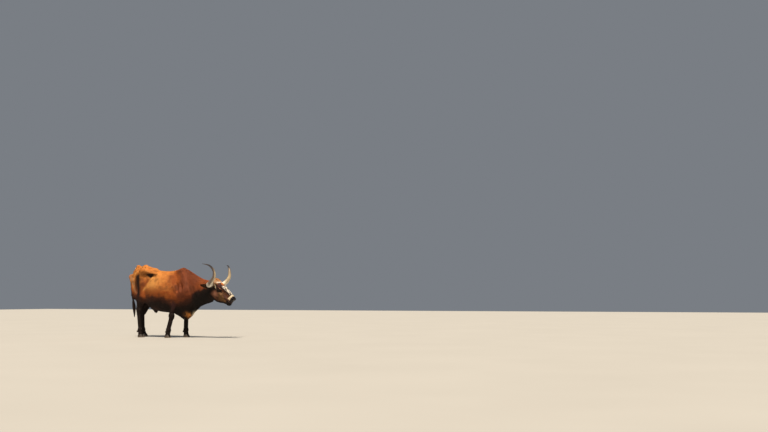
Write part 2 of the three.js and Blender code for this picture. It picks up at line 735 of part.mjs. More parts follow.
// Tail switch: a core and flat tapering locks that hang from it.
let seed = 7;
function random() {
  seed = (seed * 16807) % 2147483647;
  return seed / 2147483647;
}
const SWITCH_PATH = [
  [-1127, 25.6, 755],
  [-1120, 32, 700],
  [-1112, 36, 620],
  [-1104, 40, 540],
  [-1096, 42, 460],
];
const SWITCH_RADII = [18, 36, 34, 23, 6];
const LOCKS = { count: 14, length: 180, width: 17, thick: 5.5 };
function switchLock(i) {
  const turn = i * 2.4;
  const start = (i / LOCKS.count) * 0.72;
  const curve = new THREE.CatmullRomCurve3(SWITCH_PATH.map((p) => new THREE.Vector3(...p)));
  const root = curve.getPoint(0.06 + start);
  const out = new THREE.Vector3(Math.cos(turn), Math.sin(turn), 0);
  const length = LOCKS.length * (0.75 + 0.35 * random());
  const spread = 14 + 10 * random();
  const points = [0, 0.3, 0.65, 1].map((t) => {
    const place = root.clone().addScaledVector(out, 8 + spread * Math.sin(t * 2.2));
    const ahead = curve.getPoint(Math.min(1, start + 0.06 + t * 0.5));
    place.x += (ahead.x - root.x) * t;
    place.y += (ahead.y - root.y) * t;
    place.z -= length * t;
    return place.toArray();
  });
  const sizes = [0.8, 1, 0.8, 0.14].map((k) => [LOCKS.width * k, LOCKS.thick * k]);
  return tube(points, sizes, { sides: 4, count: 4, flatSide: [-Math.sin(turn), Math.cos(turn), 0] });
}
const switchCore = tube(
  SWITCH_PATH,
  SWITCH_RADII.map((r) => [r, r]),
  { sides: 10, count: 12 },
);
const locks = Array.from({ length: LOCKS.count }, (_, i) => switchLock(i));
const tailEnd = tube(
  TAIL_PATH,
  TAIL_RADII.map((r) => [r, r]),
  { sides: 10, count: 22, swell: GAP },
);
addNode("tail_switch", join([switchCore, ...locks]).subtract(tailEnd), tailHair);

// The frame's origin is under the middle of the whole animal, on the ground.
const whole = new THREE.Box3().setFromObject(group);
const middle = whole.getCenter(new THREE.Vector3());
group.position.set(-middle.x, -middle.y, 0);

export default group;
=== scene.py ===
# A life-size texas longhorn steer: one skin with a coat of tufts, and its own eyes, horns and claws.
# It faces +X and its left side is +Y. Sizes in the dictionaries are in millimetres unless they say so.
import math

import bmesh
import bpy
import numpy as np
from mathutils import Matrix, Vector


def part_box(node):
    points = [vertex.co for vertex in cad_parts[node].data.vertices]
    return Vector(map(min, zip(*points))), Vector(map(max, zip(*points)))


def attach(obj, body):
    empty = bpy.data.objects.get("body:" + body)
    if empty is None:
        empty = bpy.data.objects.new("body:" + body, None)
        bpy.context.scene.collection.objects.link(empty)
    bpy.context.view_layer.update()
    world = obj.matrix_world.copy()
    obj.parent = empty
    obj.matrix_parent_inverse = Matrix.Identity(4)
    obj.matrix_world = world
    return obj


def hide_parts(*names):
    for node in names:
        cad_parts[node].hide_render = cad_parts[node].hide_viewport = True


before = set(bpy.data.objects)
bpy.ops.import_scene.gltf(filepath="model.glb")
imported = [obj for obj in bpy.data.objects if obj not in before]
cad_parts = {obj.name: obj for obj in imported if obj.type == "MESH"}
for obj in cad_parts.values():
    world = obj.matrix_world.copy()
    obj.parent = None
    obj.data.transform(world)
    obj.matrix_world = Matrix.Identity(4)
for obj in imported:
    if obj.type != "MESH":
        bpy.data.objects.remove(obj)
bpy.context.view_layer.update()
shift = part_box("torso")[1].x - 0.330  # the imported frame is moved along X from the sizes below


# small helpers
def hexColour(text):
    parts = [int(text[i:i + 2], 16) / 255 for i in (0, 2, 4)]
    return tuple(p / 12.92 if p <= 0.04045 else ((p + 0.055) / 1.055) ** 2.4 for p in parts)


def smoothStep(value, low, high):
    t = np.clip((np.asarray(value, float) - low) / (high - low), 0, 1)
    return t * t * (3 - 2 * t)


def bump(value, centre, width):
    return np.exp(-(((value - centre) / width) ** 2))


def turns(value, length):
    # the angle of a wave that comes round once for each length
    return value / length * 2 * math.pi


def unit(vectors):
    return vectors / np.maximum(np.linalg.norm(vectors, axis=-1, keepdims=True), 1e-9)


def falling(value, low, high):
    return 1 - smoothStep(value, low, high)


noiseTable = np.random.default_rng(11).uniform(-1, 1, (64, 64, 64))


def noise(points, size, layer):
    # smooth noise from -1 to 1, whose lumps are about one size across
    place = points / np.asarray(size, float) + 17.3 * layer
    cell = np.floor(place).astype(int)
    t = place - cell
    t = t * t * (3 - 2 * t)
    total = 0
    for i in (0, 1):
        for j in (0, 1):
            for k in (0, 1):
                weight = (
                    (t[:, 0] if i else 1 - t[:, 0])
                    * (t[:, 1] if j else 1 - t[:, 1])
                    * (t[:, 2] if k else 1 - t[:, 2])
                )
                index = (cell + (i, j, k)) & 63
                total = total + weight * noiseTable[index[:, 0], index[:, 1], index[:, 2]]
    return total


def toMetres(points):
    return np.asarray(points, float) / 1000 + (shift, 0, 0)


def toMillimetres(points):
    return (points - (shift, 0, 0)) * 1000


def addObject(name, data):
    thing = bpy.data.objects.new(name, data)
    bpy.context.scene.collection.objects.link(thing)
    return thing


def meshObject(name, points, faces):
    mesh = bpy.data.meshes.new(name)
    mesh.from_pydata(toMetres(points).tolist(), [], [list(map(int, f)) for f in faces])
    mesh.validate()
    mesh.shade_smooth()
    return addObject(name, mesh)


def turnOutwards(mesh, merged=0.0):
    # faces of closed shapes point outwards, once points closer than merged are made one
    work = bmesh.new()
    work.from_mesh(mesh)
    if merged:
        bmesh.ops.remove_doubles(work, verts=work.verts, dist=merged)
    bmesh.ops.recalc_face_normals(work, faces=work.faces)
    work.to_mesh(mesh)
    work.free()


attributeFields = {"FLOAT": "value", "INT": "value", "FLOAT_VECTOR": "vector", "FLOAT_COLOR": "color"}


def setAttribute(mesh, name, kind, values, domain="POINT"):
    layer = mesh.attributes.new(name, kind, domain)
    layer.data.foreach_set(attributeFields[kind], np.asarray(values).ravel())


def readAll(items, field, kind=float, width=1):
    values = np.zeros(len(items) * width, kind)
    items.foreach_get(field, values)
    return values.reshape(-1, width) if width > 1 else values


def meshPoints(mesh):
    return toMillimetres(readAll(mesh.vertices, "co", width=3))


def meshNormals(mesh):
    return readAll(mesh.vertex_normals, "vector", np.float32, 3).astype(float)


def cornerPoints(mesh):
    # the number of the point at each corner of each face
    return readAll(mesh.loops, "vertex_index", np.int64)


# forms: each is a function of a point that gives a distance, less than zero inside, and its box
def curveThrough(places, values):
    places = np.asarray(places, float)
    values = np.asarray(values, float)
    last = len(places) - 1
    before = np.maximum(np.arange(last + 1) - 1, 0)
    after = np.minimum(np.arange(last + 1) + 1, last)
    slope = (values[after] - values[before]) / (places[after] - places[before])

    def read(x):
        x = np.clip(x, places[0], places[last])
        i = np.clip(np.searchsorted(places, x, side="right") - 1, 0, last - 1)
        step = places[i + 1] - places[i]
        t = (x - places[i]) / step
        u = 1 - t
        ends = values[i] * u * u * (1 + 2 * t) + values[i + 1] * t * t * (3 - 2 * t)
        return ends + step * t * u * (slope[i] * u - slope[i + 1] * t)

    return read


def sections(rows):
    # a run of sections along the first axis: place, top, low, half width, widest, two squarenesses
    columns = np.array(rows, float).T
    at = columns[0]
    readers = [curveThrough(at, column) for column in columns[1:]]

    def shape(s, y, h):
        inside = np.clip(s, at[0], at[-1])
        top, low, half, middle, upper, lower = [read(inside) for read in readers]
        rise = h - middle
        reach = np.where(rise > 0, top - middle, middle - low)
        n = np.where(rise > 0, upper, lower)
        past = s - inside
        section = (np.abs(y / half) ** n + np.abs(rise / reach) ** n) ** (1 / n)
        norm = np.hypot(section, past / half * 1.4)
        far = np.sqrt(y * y + rise * rise + past * past)
        return np.where(norm > 1e-5, far * (1 - 1 / np.maximum(norm, 1e-5)), -half)

    wide = columns[3].max()
    low = (at[0] - wide, -wide, columns[2].min())
    high = (at[-1] + wide, wide, columns[1].max())
    return shape, low, high


def bone(a, b, ra, rb=None):
    # rounded, from a to b, with radii fore and aft and sideways at each end
    rb = rb or ra
    start = np.array(a, float)
    end = np.array(b, float)
    axis = end - start
    length = np.linalg.norm(axis)
    axis = axis / length
    side = unit(np.array([0.0, 1.0, 0.0]) - axis * axis[1])
    fore = np.cross(axis, side)

    def shape(x, y, z):
        q = (x - start[0], y - start[1], z - start[2])
        along = q[0] * axis[0] + q[1] * axis[1] + q[2] * axis[2]
        u = q[0] * fore[0] + q[1] * fore[1] + q[2] * fore[2]
        v = q[0] * side[0] + q[1] * side[1] + q[2] * side[2]
        t = np.clip(along / length, 0, 1)
        rf = ra[0] + (rb[0] - ra[0]) * t
        rs = ra[1] + (rb[1] - ra[1]) * t
        over = along - t * length
        norm = np.sqrt((u / rf) ** 2 + (v / rs) ** 2 + (over / np.minimum(rf, rs)) ** 2)
        norm = np.maximum(norm, 1e-5)
        return np.sqrt(u * u + v * v + over * over) * (1 - 1 / norm)

    wide = max(*ra, *rb)
    return shape, np.minimum(start, end) - wide, np.maximum(start, end) + wide


def lump(centre, radii, pitch=0.0):
    c = math.cos(pitch)
    s = math.sin(pitch)

    def shape(x, y, z):
        dx = x - centre[0]
        dz = z - centre[2]
        u = dx * c - dz * s
        v = y - centre[1]
        w = dx * s + dz * c
        norm = np.sqrt((u / radii[0]) ** 2 + (v / radii[1]) ** 2 + (w / radii[2]) ** 2)
        norm = np.maximum(norm, 1e-5)
        return np.sqrt(u * u + v * v + w * w) * (1 - 1 / norm)

    wide = max(radii)
    return shape, np.array(centre) - wide, np.array(centre) + wide


def blendIn(a, b, soft):
    h = np.maximum(soft - np.abs(a - b), 0)
    return np.minimum(a, b) - h * h / (4 * max(soft, 1))


def evaluate(forms, x, y, z):
    # one smooth body from forms with softnesses, where a negative softness hollows it
    value = np.full(len(x), 1e6)
    for (shape, low, high), soft in forms:
        reach = abs(soft) + 50
        near = (x > low[0] - reach) & (x < high[0] + reach)
        near &= (z > low[2] - reach) & (z < high[2] + reach)
        near &= (y > low[1] - reach) & (y < high[1] + reach)
        near = np.nonzero(near)[0]
        if len(near) == 0:
            continue
        other = shape(x[near], y[near], z[near])
        if soft < 0:
            value[near] = -blendIn(-value[near], other, -soft)
        else:
            value[near] = blendIn(value[near], other, soft)
    return value


# the animal's forms, for its left side, which stand on both sides
trunkForms = [
    (sections([
        [-1046, 1352, 1080, 66, 1210, 2.0, 2.0],
        [-1000, 1392, 960, 118, 1205, 1.8, 2.0],
        [-930, 1400, 860, 160, 1205, 1.5, 2.0],
        [-820, 1420, 750, 196, 1180, 1.45, 2.0],
        [-700, 1398, 640, 232, 1060, 1.5, 2.2],
        [-560, 1356, 548, 284, 950, 1.65, 2.2],
        [-400, 1326, 510, 317, 900, 1.75, 2.1],
        [-220, 1318, 492, 322, 890, 1.7, 2.0],
        [-60, 1333, 470, 290, 890, 1.55, 1.9],
        [100, 1383, 456, 236, 890, 1.3, 1.7],
        [210, 1342, 460, 198, 890, 1.35, 1.55],
        [320, 1282, 512, 164, 900, 1.6, 1.5],
        [430, 1220, 592, 138, 930, 1.9, 1.6],
        [540, 1164, 660, 120, 940, 2.0, 1.8],
        [660, 1132, 690, 108, 945, 2.0, 2.0],
        [770, 1122, 722, 90, 960, 2.0, 2.0],
    ]), 0),
    # the dewlap
    (sections([
        [-30, 640, 452, 62, 560, 2.0, 2.0],
        [70, 660, 396, 72, 520, 2.0, 2.0],
        [150, 700, 352, 70, 470, 2.0, 1.9],
        [215, 730, 350, 60, 460, 2.0, 1.9],
        [300, 780, 408, 42, 500, 2.0, 1.8],
        [400, 830, 512, 30, 600, 2.0, 1.8],
        [520, 860, 608, 26, 690, 2.0, 1.8],
        [640, 880, 658, 24, 750, 2.0, 1.8],
        [720, 880, 684, 22, 780, 2.0, 1.8],
        [790, 870, 708, 22, 790, 2.0, 1.8],
    ]), 46),
    # hip bone, seat bone, loin and tail head
    (bone([-720, 222, 1326], [-822, 40, 1398], [46, 30], [44, 30]), 66),
    (lump([-718, 224, 1322], [48, 36, 40], 0.4), 30),
    (bone([-740, 208, 1310], [-1078, 108, 1210], [46, 40], [42, 36]), 74),
    (lump([-1082, 108, 1206], [46, 38, 44]), 30),
    (bone([-700, 184, 1318], [-420, 148, 1262], [30, 42], [20, 54]), 84),
    (lump([-812, 0, 1403], [64, 40, 44]), 34),
    (lump([-984, 0, 1404], [50, 38, 46]), 30),
    # shoulder
    (bone([58, 74, 1290], [236, 176, 900], [88, 40], [92, 58]), 60),
    (bone([250, 150, 920], [292, 150, 840], [70, 62], [64, 56]), 50),
    (bone([40, 190, 960], [-20, 196, 830], [110, 52], [66, 50]), 60),
    (bone([210, 180, 850], [0, 190, 800], [80, 60], [62, 52]), 50),
    # thigh
    (bone([-806, 160, 1190], [-716, 182, 830], [118, 78], [84, 66]), 70),
    (bone([-1032, 104, 1140], [-950, 140, 800], [66, 58], [62, 52]), 56),
    (bone([-890, 150, 1110], [-850, 158, 800], [100, 68], [88, 58]), 60),
    (lump([-956, 236, 1030], [24, 46, 180], 0.24), -46),
    (bone([-700, 180, 800], [-570, 150, 650], [40, 26], [36, 24]), 70),
    # the hollow of the flank, and the sheath
    (lump([-624, 366, 1164], [112, 100, 116], -0.3), -110),
    (bone([-640, 0, 600], [-540, 0, 530], [34, 30], [26, 24]), 50),
    (bone([-545, 0, 535], [-514, 0, 510], [20, 18], [13, 13]), 20),
]

# what the solids leave out: the thin animal's bones and edges under its skin
finerForms = [
    (lump([-515, 236, 1222], [92, 56, 34], -0.3), -44),
    (bone([-668, 196, 1300], [-430, 196, 1262], [15, 26], [12, 22]), 34),
    (bone([-600, 290, 1130], [-700, 288, 950], [66, 60], [48, 50]), -50),
    (bone([-984, 0, 1398], [-812, 0, 1398], [26, 24]), 26),
    (bone([120, 84, 1262], [226, 190, 930], [13, 10], [16, 12]), 46),
    (lump([186, 214, 1000], [26, 26, 130], -0.26), -40),
    (lump([96, 226, 1010], [26, 28, 120], -0.2), -34),
    (bone([-30, 232, 860], [60, 226, 800], [44, 20], [36, 20]), 50),
    (bone([-828, 262, 1230], [-852, 236, 830], [26, 46], [12, 38]), -50),
    (bone([-880, 60, 1380], [-1010, 60, 1330], [12, 16], [14, 18]), 40),
    (bone([-744, 214, 1090], [-716, 214, 870], [30, 18], [34, 20]), 54),
]

head = {
    "pitch": math.radians(41),
    "poll": (856, 0, 1170),
    "eye": (256, 88, -90),
    "eyeRadius": 22,
    "eyeTurn": 0.5,
    "nostril": (577, 36, -50),
}
headCos = math.cos(head["pitch"])
headSin = math.sin(head["pitch"])


def headPoint(along, out, up):
    x = head["poll"][0] + along * headCos + up * headSin
    return np.array([x, out, head["poll"][2] - along * headSin + up * headCos])


def intoHead(x, z):
    dx = x - head["poll"][0]
    dz = z - head["poll"][2]
    return dx * headCos - dz * headSin, dx * headSin + dz * headCos


def eyeAxes():
    c = math.cos(head["eyeTurn"])
    s = math.sin(head["eyeTurn"])
    return np.array([c, 0, s]), np.array([-s, 0, c])


def lidArc(side, count=7):
    # bones along the edge of one lid, laid on the eye's sphere
    forward, upward = eyeAxes()
    centre = np.array(head["eye"], float)
    points = []
    for t in np.linspace(-1, 1, count):
        p = 25.0 * math.sin(t * 1.45)
        q = side * (14.0 if side > 0 else 11.5) * math.cos(t * 1.45)
        out = math.sqrt(max(25.0 ** 2 - (p * 0.92) ** 2 - q * q, 9))
        points.append(centre + forward * p + upward * q + np.array([0, out, 0]))
    return [(bone(a, b, [3.2, 3.2]), 4) for a, b in zip(points, points[1:])]


headForms = [
    (sections([
        [0, -8, -190, 66, -90, 2.0, 2.0],
        [50, 8, -250, 92, -66, 2.3, 1.9],
        [130, 13, -306, 102, -70, 2.4, 1.7],
        [215, 12, -334, 98, -82, 2.4, 1.6],
        [300, 7, -338, 83, -104, 2.2, 1.6],
        [380, 3, -306, 68, -110, 2.2, 1.7],
        [450, 1, -260, 60, -100, 2.2, 1.9],
        [510, -1, -232, 60, -92, 2.3, 2.1],
        [556, -8, -218, 62, -88, 2.3, 2.1],
    ]), 0),
    (bone([26, 40, -46], [28, 92, -60], [46, 44], [42, 42]), 36),
    (bone([200, 84, -44], [266, 92, -54], [24, 18], [22, 18]), 34),
    (bone([258, 90, -126], [340, 72, -142], [20, 18], [18, 16]), 34),
    (lump([228, 58, -190], [84, 42, 82]), 44),
    (bone([150, 44, -280], [300, 36, -304], [28, 22], [22, 18]), 34),
    (lump([256, 86, -90], [34, 25, 29]), 14),
    (lump([552, 44, -56], [40, 26, 38]), 26),
    (bone([530, 0, -32], [566, 0, -50], [28, 50], [32, 44]), 26),
    (lump([560, 0, -172], [50, 48, 44]), 22),
    # finer: hollows of the temple and cheek, the brow, the long bones of the nose, jaw and chin
    (lump([166, 122, -66], [50, 22, 34]), -26),
    (lump([392, 82, -70], [88, 20, 36]), -34),
    (bone([222, 96, -58], [262, 104, -58], [9, 8]), 18),
    (bone([262, 104, -58], [296, 90, -76], [9, 8], [8, 7]), 18),
    (bone([228, 100, -120], [280, 92, -124], [8, 7]), 18),
    (bone([270, 34, 4], [490, 30, -10], [11, 9], [10, 9]), 20),
    (bone([286, 86, -140], [384, 66, -158], [10, 9], [8, 8]), 22),
    (bone([132, 78, -120], [150, 84, -230], [22, 12], [22, 12]), 34),
    (lump([330, 80, -226], [60, 16, 36], 0.3), -26),
    (lump([508, 0, -184], [40, 36, 18], 0.1), 20),
    (bone([430, 58, -128], [520, 58, -112], [16, 12], [20, 12]), 26),
    # the nostrils' wings
    (bone([556, 46, -28], [578, 47, -30], [8, 8], [9, 8]), 10),
    (bone([578, 47, -30], [594, 36, -40], [9, 8], [8, 8]), 10),
    (bone([562, 54, -50], [556, 46, -28], [8, 7], [8, 8]), 12),
    (bone([590, 22, -60], [594, 36, -40], [8, 8]), 12),
    # the eye's ball under its lids
    (lump([256, 88, -90], [25.6, 25.6, 25.6]), 7),
    *lidArc(1),
    *lidArc(-1),
]

# each leg's joints and the middle of its foot, with y as the distance out from the body's middle
legs = {
    "frontRight": dict(side=-1, elbow=(-24, 186, 800), knee=(-44, 172, 424),
                       fetlock=(-108, 172, 152), foot=(-126, 172, 0)),
    "frontLeft": dict(side=1, elbow=(14, 186, 800), knee=(70, 172, 432),
                      fetlock=(64, 172, 152), foot=(76, 172, 0)),
    "hindRight": dict(side=-1, stifle=(-712, 190, 800), hock=(-822, 168, 520),
                      fetlock=(-796, 162, 152), foot=(-772, 162, 0)),
    "hindLeft": dict(side=1, stifle=(-734, 184, 792), hock=(-966, 142, 530),
                     fetlock=(-944, 134, 152), foot=(-906, 132, 0), calf=(-932, 148, 480)),
}


def foreleg(leg):
    ex, ey, ez = leg["elbow"]
    kx, ky, kz = leg["knee"]
    fx, fy, fz = leg["fetlock"]
    tx, ty, _ = leg["foot"]
    return [
        (bone([ex + 30, ey, ez + 40], [kx, ky, kz + 40], [96, 58], [46, 42]), 0),
        (bone([ex - 44, ey, ez + 10], [kx - 20, ky, kz + 170], [54, 42], [34, 30]), 40),
        (lump([kx + 4, ky, kz], [58, 52, 68]), 30),
        (lump([kx - 36, ky, kz + 6], [24, 24, 32]), 26),
        (bone([kx, ky, kz - 40], [fx + 6, fy, fz + 20], [43, 39], [38, 37]), 26),
        (bone([kx - 32, ky, kz - 50], [fx - 26, fy, fz + 20], [22, 23], [24, 25]), 18),
        (lump([fx, fy, fz], [49, 48, 44]), 24),
        (bone([fx + 2, fy, fz - 20], [tx - 4, ty, 40], [42, 45], [50, 54]), 24),
        # finer: the knee's edge, the elbow's point and the hollows beside the tendons
        (lump([kx + 42, ky, kz + 18], [16, 32, 26]), 16),
        (lump([kx + 38, ky, kz - 26], [16, 28, 18]), 14),
        (lump([ex - 70, ey + 6, ez + 30], [30, 26, 36]), 30),
        (bone([kx - 20, ky + 45, kz - 80], [fx - 12, fy + 43, fz + 60], [7, 8]), -14),
        (bone([kx - 20, ky - 45, kz - 80], [fx - 12, fy - 43, fz + 60], [7, 8]), -14),
        (bone([kx + 34, ky + 26, kz + 250], [kx + 26, ky + 30, kz + 90], [16, 12], [12, 9]), 24),
        (bone([kx - 16, ky + 44, kz + 260], [kx - 12, ky + 40, kz + 110], [9, 8]), -20),
    ]


def hindLeg(leg):
    sx, sy, sz = leg["stifle"]
    hx, hy, hz = leg["hock"]
    fx, fy, fz = leg["fetlock"]
    tx, ty, _ = leg["foot"]
    calf = []
    if "calf" in leg:
        cx, cy, cz = leg["calf"]
        calf = [(bone([cx + 120, cy + 28, 720], [cx, cy, cz], [58, 46], [34, 32]), 50)]
    return [
        (lump([sx + 4, sy, sz], [72, 60, 92]), 0),
        *calf,
        (bone([sx - 34, sy - 4, sz - 10], [hx + 12, hy, hz + 64], [104, 62], [42, 36]), 60),
        (bone([sx - 134, sy - 16, sz + 30], [hx - 30, hy, hz + 96], [62, 44], [21, 19]), 50),
        (bone([hx - 42, hy, hz + 92], [hx - 46, hy, hz + 40], [21, 20], [24, 23]), 30),
        (bone([hx - 44, hy, hz + 42], [hx - 20, hy, hz - 50], [24, 24], [26, 26]), 26),
        (lump([hx + 4, hy, hz + 4], [50, 44, 62]), 34),
        (bone([hx, hy, hz - 46], [fx + 4, fy, fz + 20], [34, 31], [29, 30]), 26),
        (bone([hx - 28, hy, hz - 60], [fx - 20, fy, fz + 20], [18, 20], [20, 22]), 18),
        (lump([fx, fy, fz], [44, 43, 40]), 24),
        (bone([fx + 2, fy, fz - 20], [tx - 4, ty, 40], [37, 41], [49, 53]), 24),
        # finer: the hock's point and hollow, the hamstring, and the hollows beside the tendons
        (lump([hx - 52, hy, hz + 44], [16, 18, 22]), 14),
        (lump([hx - 16, hy + 40, hz + 56], [12, 14, 40], 0.2), -22),
        (lump([hx - 16, hy - 40, hz + 56], [12, 14, 40], 0.2), -22),
        (lump([hx + 30, hy + 20, hz + 14], [18, 16, 26]), 16),
        (bone([hx - 10, hy + 38, hz - 90], [fx - 8, fy + 38, fz + 60], [7, 8]), -14),
        (bone([hx - 10, hy - 38, hz - 90], [fx - 8, fy - 38, fz + 60], [7, 8]), -14),
        (bone([sx - 30, sy + 52, sz - 60], [hx + 20, hy + 34, hz + 130], [14, 10], [9, 8]), 26),
    ]


legForms = {
    name: (foreleg(leg) if "elbow" in leg else hindLeg(leg)) for name, leg in legs.items()
}

tail = {
    "path": [(-988, 0, 1402), (-1034, 0, 1372), (-1078, 0, 1312), (-1118, 0, 1228),
             (-1143, 2, 1112), (-1150, 6, 970), (-1144, 16, 850), (-1126, 26, 750)],
    "radii": [28, 29, 27, 25, 22, 20, 17, 14],
}
tailForms = [
    (bone(a, b, [ra, ra], [rb, rb]), 12)
    for a, b, ra, rb in zip(tail["path"], tail["path"][1:], tail["radii"], tail["radii"][1:])
]

hoof = {"coronet": 58, "slope": 0.28, "centre": 8}

ear = {
    "root": (820, 84, 1012),
    "tip": (664, 262, 1030),
    "opensTo": (0.62, 0.5, -0.6),
    "width": [(0, 70), (0.2, 104), (0.45, 128), (0.72, 96), (0.92, 36), (1, 8)],
    "roll": [(0, 2.7), (0.2, 2.0), (0.45, 1.35), (0.72, 1.1), (1, 0.8)],
    "thick": 5.0,
    "rings": 44,
    "across": 19,
}
earStub = [(bone([846, 60, 1006], [790, 116, 1016], [38, 36], [30, 29]), 24)]
hornCollar = [(bone([868, 44, 1092], [857, 112, 1070], [52, 52], [55, 54]), 24)]

coatDepth = {"body": 4.0, "head": 1.6, "legs": 2.2}


def depthAt(points):
    # how far the skin lies inside the solids, so that the coat ends on them
    along, _ = intoHead(points[:, 0], points[:, 2])
    onHead = smoothStep(along, -60, 60) * (points[:, 0] > 700)
    onLegs = falling(points[:, 2], 420, 640)
    depth = coatDepth["body"] + (coatDepth["legs"] - coatDepth["body"]) * onLegs
    return depth + (coatDepth["head"] - depth) * onHead


def animalField(points):
    x, y, z = points.T
    half = np.abs(y)
    value = evaluate(trunkForms + finerForms, x, half, z)
    near = np.nonzero(x > 560)[0]
    if len(near):
        along, up = intoHead(x[near], z[near])
        value[near] = blendIn(value[near], evaluate(headForms, along, half[near], up), 64)
        for stub in (earStub, hornCollar):
            value[near] = blendIn(value[near], evaluate(stub, x[near], half[near], z[near]), 24)
    for name, leg in legs.items():
        near = np.nonzero((z < 1000) & (y * leg["side"] > -20))[0]
        if len(near) == 0:
            continue
        other = evaluate(legForms[name], x[near], y[near] * leg["side"], z[near])
        value[near] = blendIn(value[near], other, 52)
        foot = leg["foot"]
        low = (z < 140) & (np.abs(x - foot[0]) < 150) & (y * leg["side"] > 0)
        near = np.nonzero(low)[0]
        edge = hoof["coronet"] + hoof["slope"] * (x[near] - foot[0] - hoof["centre"])
        value[near] = -blendIn(-value[near], z[near] - edge + 3, 8)
    near = np.nonzero(x < -940)[0]
    value[near] = blendIn(value[near], evaluate(tailForms, x[near], y[near], z[near]), 34)
    return value


laying = {"probe": 1.2, "leastSlope": 0.3, "longestMove": 12}


def projectOn(points, steps):
    # moves points along the field's slope, read at four places round each, until they lie on the skin
    reach = laying["probe"]
    probes = np.array([(1, -1, -1), (-1, -1, 1), (-1, 1, -1), (1, 1, 1)]) * reach
    points = points.copy()
    for _ in range(steps):
        values = [animalField(points + probe) for probe in probes]
        slope = sum(v[:, None] * p for v, p in zip(values, probes)) / (4 * reach ** 2)
        middle = sum(values) / 4 + depthAt(points)
        steep = np.maximum((slope ** 2).sum(1), laying["leastSlope"] ** 2)
        points -= slope * np.clip(middle / steep, -laying["longestMove"], laying["longestMove"])[:, None]
    return points


def surfaceNet(values, low, step):
    # one point in each cell that the surface crosses, and a quad round each crossed edge
    inside = values < 0
    cells = tuple(n - 1 for n in values.shape)
    corners = [(i, j, k) for i in (0, 1) for j in (0, 1) for k in (0, 1)]
    count = np.zeros(cells, np.uint8)
    for i, j, k in corners:
        count += inside[i:cells[0] + i, j:cells[1] + j, k:cells[2] + k]
    active = (count > 0) & (count < 8)
    number = np.full(cells, -1, np.int64)
    number[active] = np.arange(active.sum())
    cell = np.argwhere(active)
    total = np.zeros((len(cell), 3))
    crossings = np.zeros(len(cell))
    for axis in range(3):
        for start in corners:
            if start[axis]:
                continue
            a = cell + start
            b = a.copy()
            b[:, axis] += 1
            va = values[tuple(a.T)]
            vb = values[tuple(b.T)]
            crosses = (va < 0) != (vb < 0)
            t = va[crosses] / (va[crosses] - vb[crosses])
            place = np.tile(np.array(start, float), (len(t), 1))
            place[:, axis] += t
            total[crosses] += place
            crossings += crosses
    points = low + (cell + total / crossings[:, None]) * step
    quads = []
    for axis in range(3):
        first = np.take(inside, range(values.shape[axis] - 1), axis)
        second = np.take(inside, range(1, values.shape[axis]), axis)
        edge = np.argwhere(first != second)
        u = np.zeros(3, int)
        v = np.zeros(3, int)
        u[(axis + 1) % 3] = 1
        v[(axis + 2) % 3] = 1
        ring = [number[tuple((edge - o).T)] for o in (0 * u, u, u + v, v)]
        quad = np.stack(ring, 1)
        leaving = first[tuple(edge.T)]
        quad[~leaving] = quad[~leaving][:, ::-1]
        quads.append(quad)
    return points, np.concatenate(quads)


# skin: a coarse net over the forms, made finer on head and legs, then laid on them exactly
skinGrid = {
    "step": 13.7,
    "low": (-1204.0, -356.0, -6.0),
    "high": (1336.0, 356.0, 1472.0),
    "band": 90,  # how near to the skin the field is read cell by cell
    "laySteps": {1: 3, 2: 3, 3: 5},  # for each level of finer faces
}


def coarseSkin():
    step = skinGrid["step"]
    low = np.array(skinGrid["low"])
    size = np.ceil((np.array(skinGrid["high"]) - low) / step).astype(int)
    size += size % 2
    coarse = np.stack(np.meshgrid(*[np.arange(n // 2) for n in size], indexing="ij"), -1)
    places = low + (coarse.reshape(-1, 3) * 2 + 0.5) * step
    rough = animalField(places).reshape(coarse.shape[:3])
    for axis in range(3):
        rough = np.repeat(rough, 2, axis)
    values = np.where(rough > 0, 1e3, -1e3)
    band = np.argwhere(np.abs(rough) < skinGrid["band"])
    values[tuple(band.T)] = animalField(low + band * step)
    return surfaceNet(values, low, step)


def eyeCoordinates(along, out, up):
    # the place across and up the eye's opening, and the distance out from the eye's middle
    forward, upward = eyeAxes()
    rel = np.stack([along, out, up], -1) - head["eye"]
    return rel @ forward, rel @ upward, rel


def mouthHeight(along):
    return curveThrough([400, 420, 470, 540, 596, 640], [-160, -150, -134, -124, -122, -120])(along)


def finerFaces(points, level):
    x, y, z = points.T
    along, up = intoHead(x, z)
    half = np.abs(y)
    eyeP, eyeQ, rel = eyeCoordinates(along, half, up)
    eyeFar = np.linalg.norm(rel, axis=1)
    nostrilFar = np.linalg.norm(np.stack([along, half, up], -1) - head["nostril"], axis=1)
    onHead = (along > -50) & (x > 742)
    fromMouth = np.abs(up - mouthHeight(along))
    if level == 1:
        onLegs = (z < 640) & (half > 70) & ((x < -560) | (np.abs(x) < 210))
        onTail = (x < -1096) & (z < 1340)
        return onHead | onLegs | onTail
    if level == 2:
        return onHead & ((along > 478) | (eyeFar < 58) | ((along > 400) & (fromMouth < 18)))
    lids = (eyeFar < 40) & (np.hypot(eyeP / 25, eyeQ / 12.5) < 1.75)
    lips = (along > 408) & (fromMouth < 8)
    return onHead & (lids | lips | (nostrilFar < 27))


def refine(skin, level):
    work = bmesh.new()
    work.from_mesh(skin.data)
    centres = np.array([f.calc_center_median()[:] for f in work.faces])
    chosen = finerFaces(toMillimetres(centres), level)
    edges = {e for f, wanted in zip(work.faces, chosen) if wanted for e in f.edges}
    bmesh.ops.subdivide_edges(work, edges=list(edges), cuts=1, use_grid_fill=True)
    many = [f for f in work.faces if len(f.verts) > 4]
    bmesh.ops.triangulate(work, faces=many)
    work.to_mesh(skin.data)
    work.free()


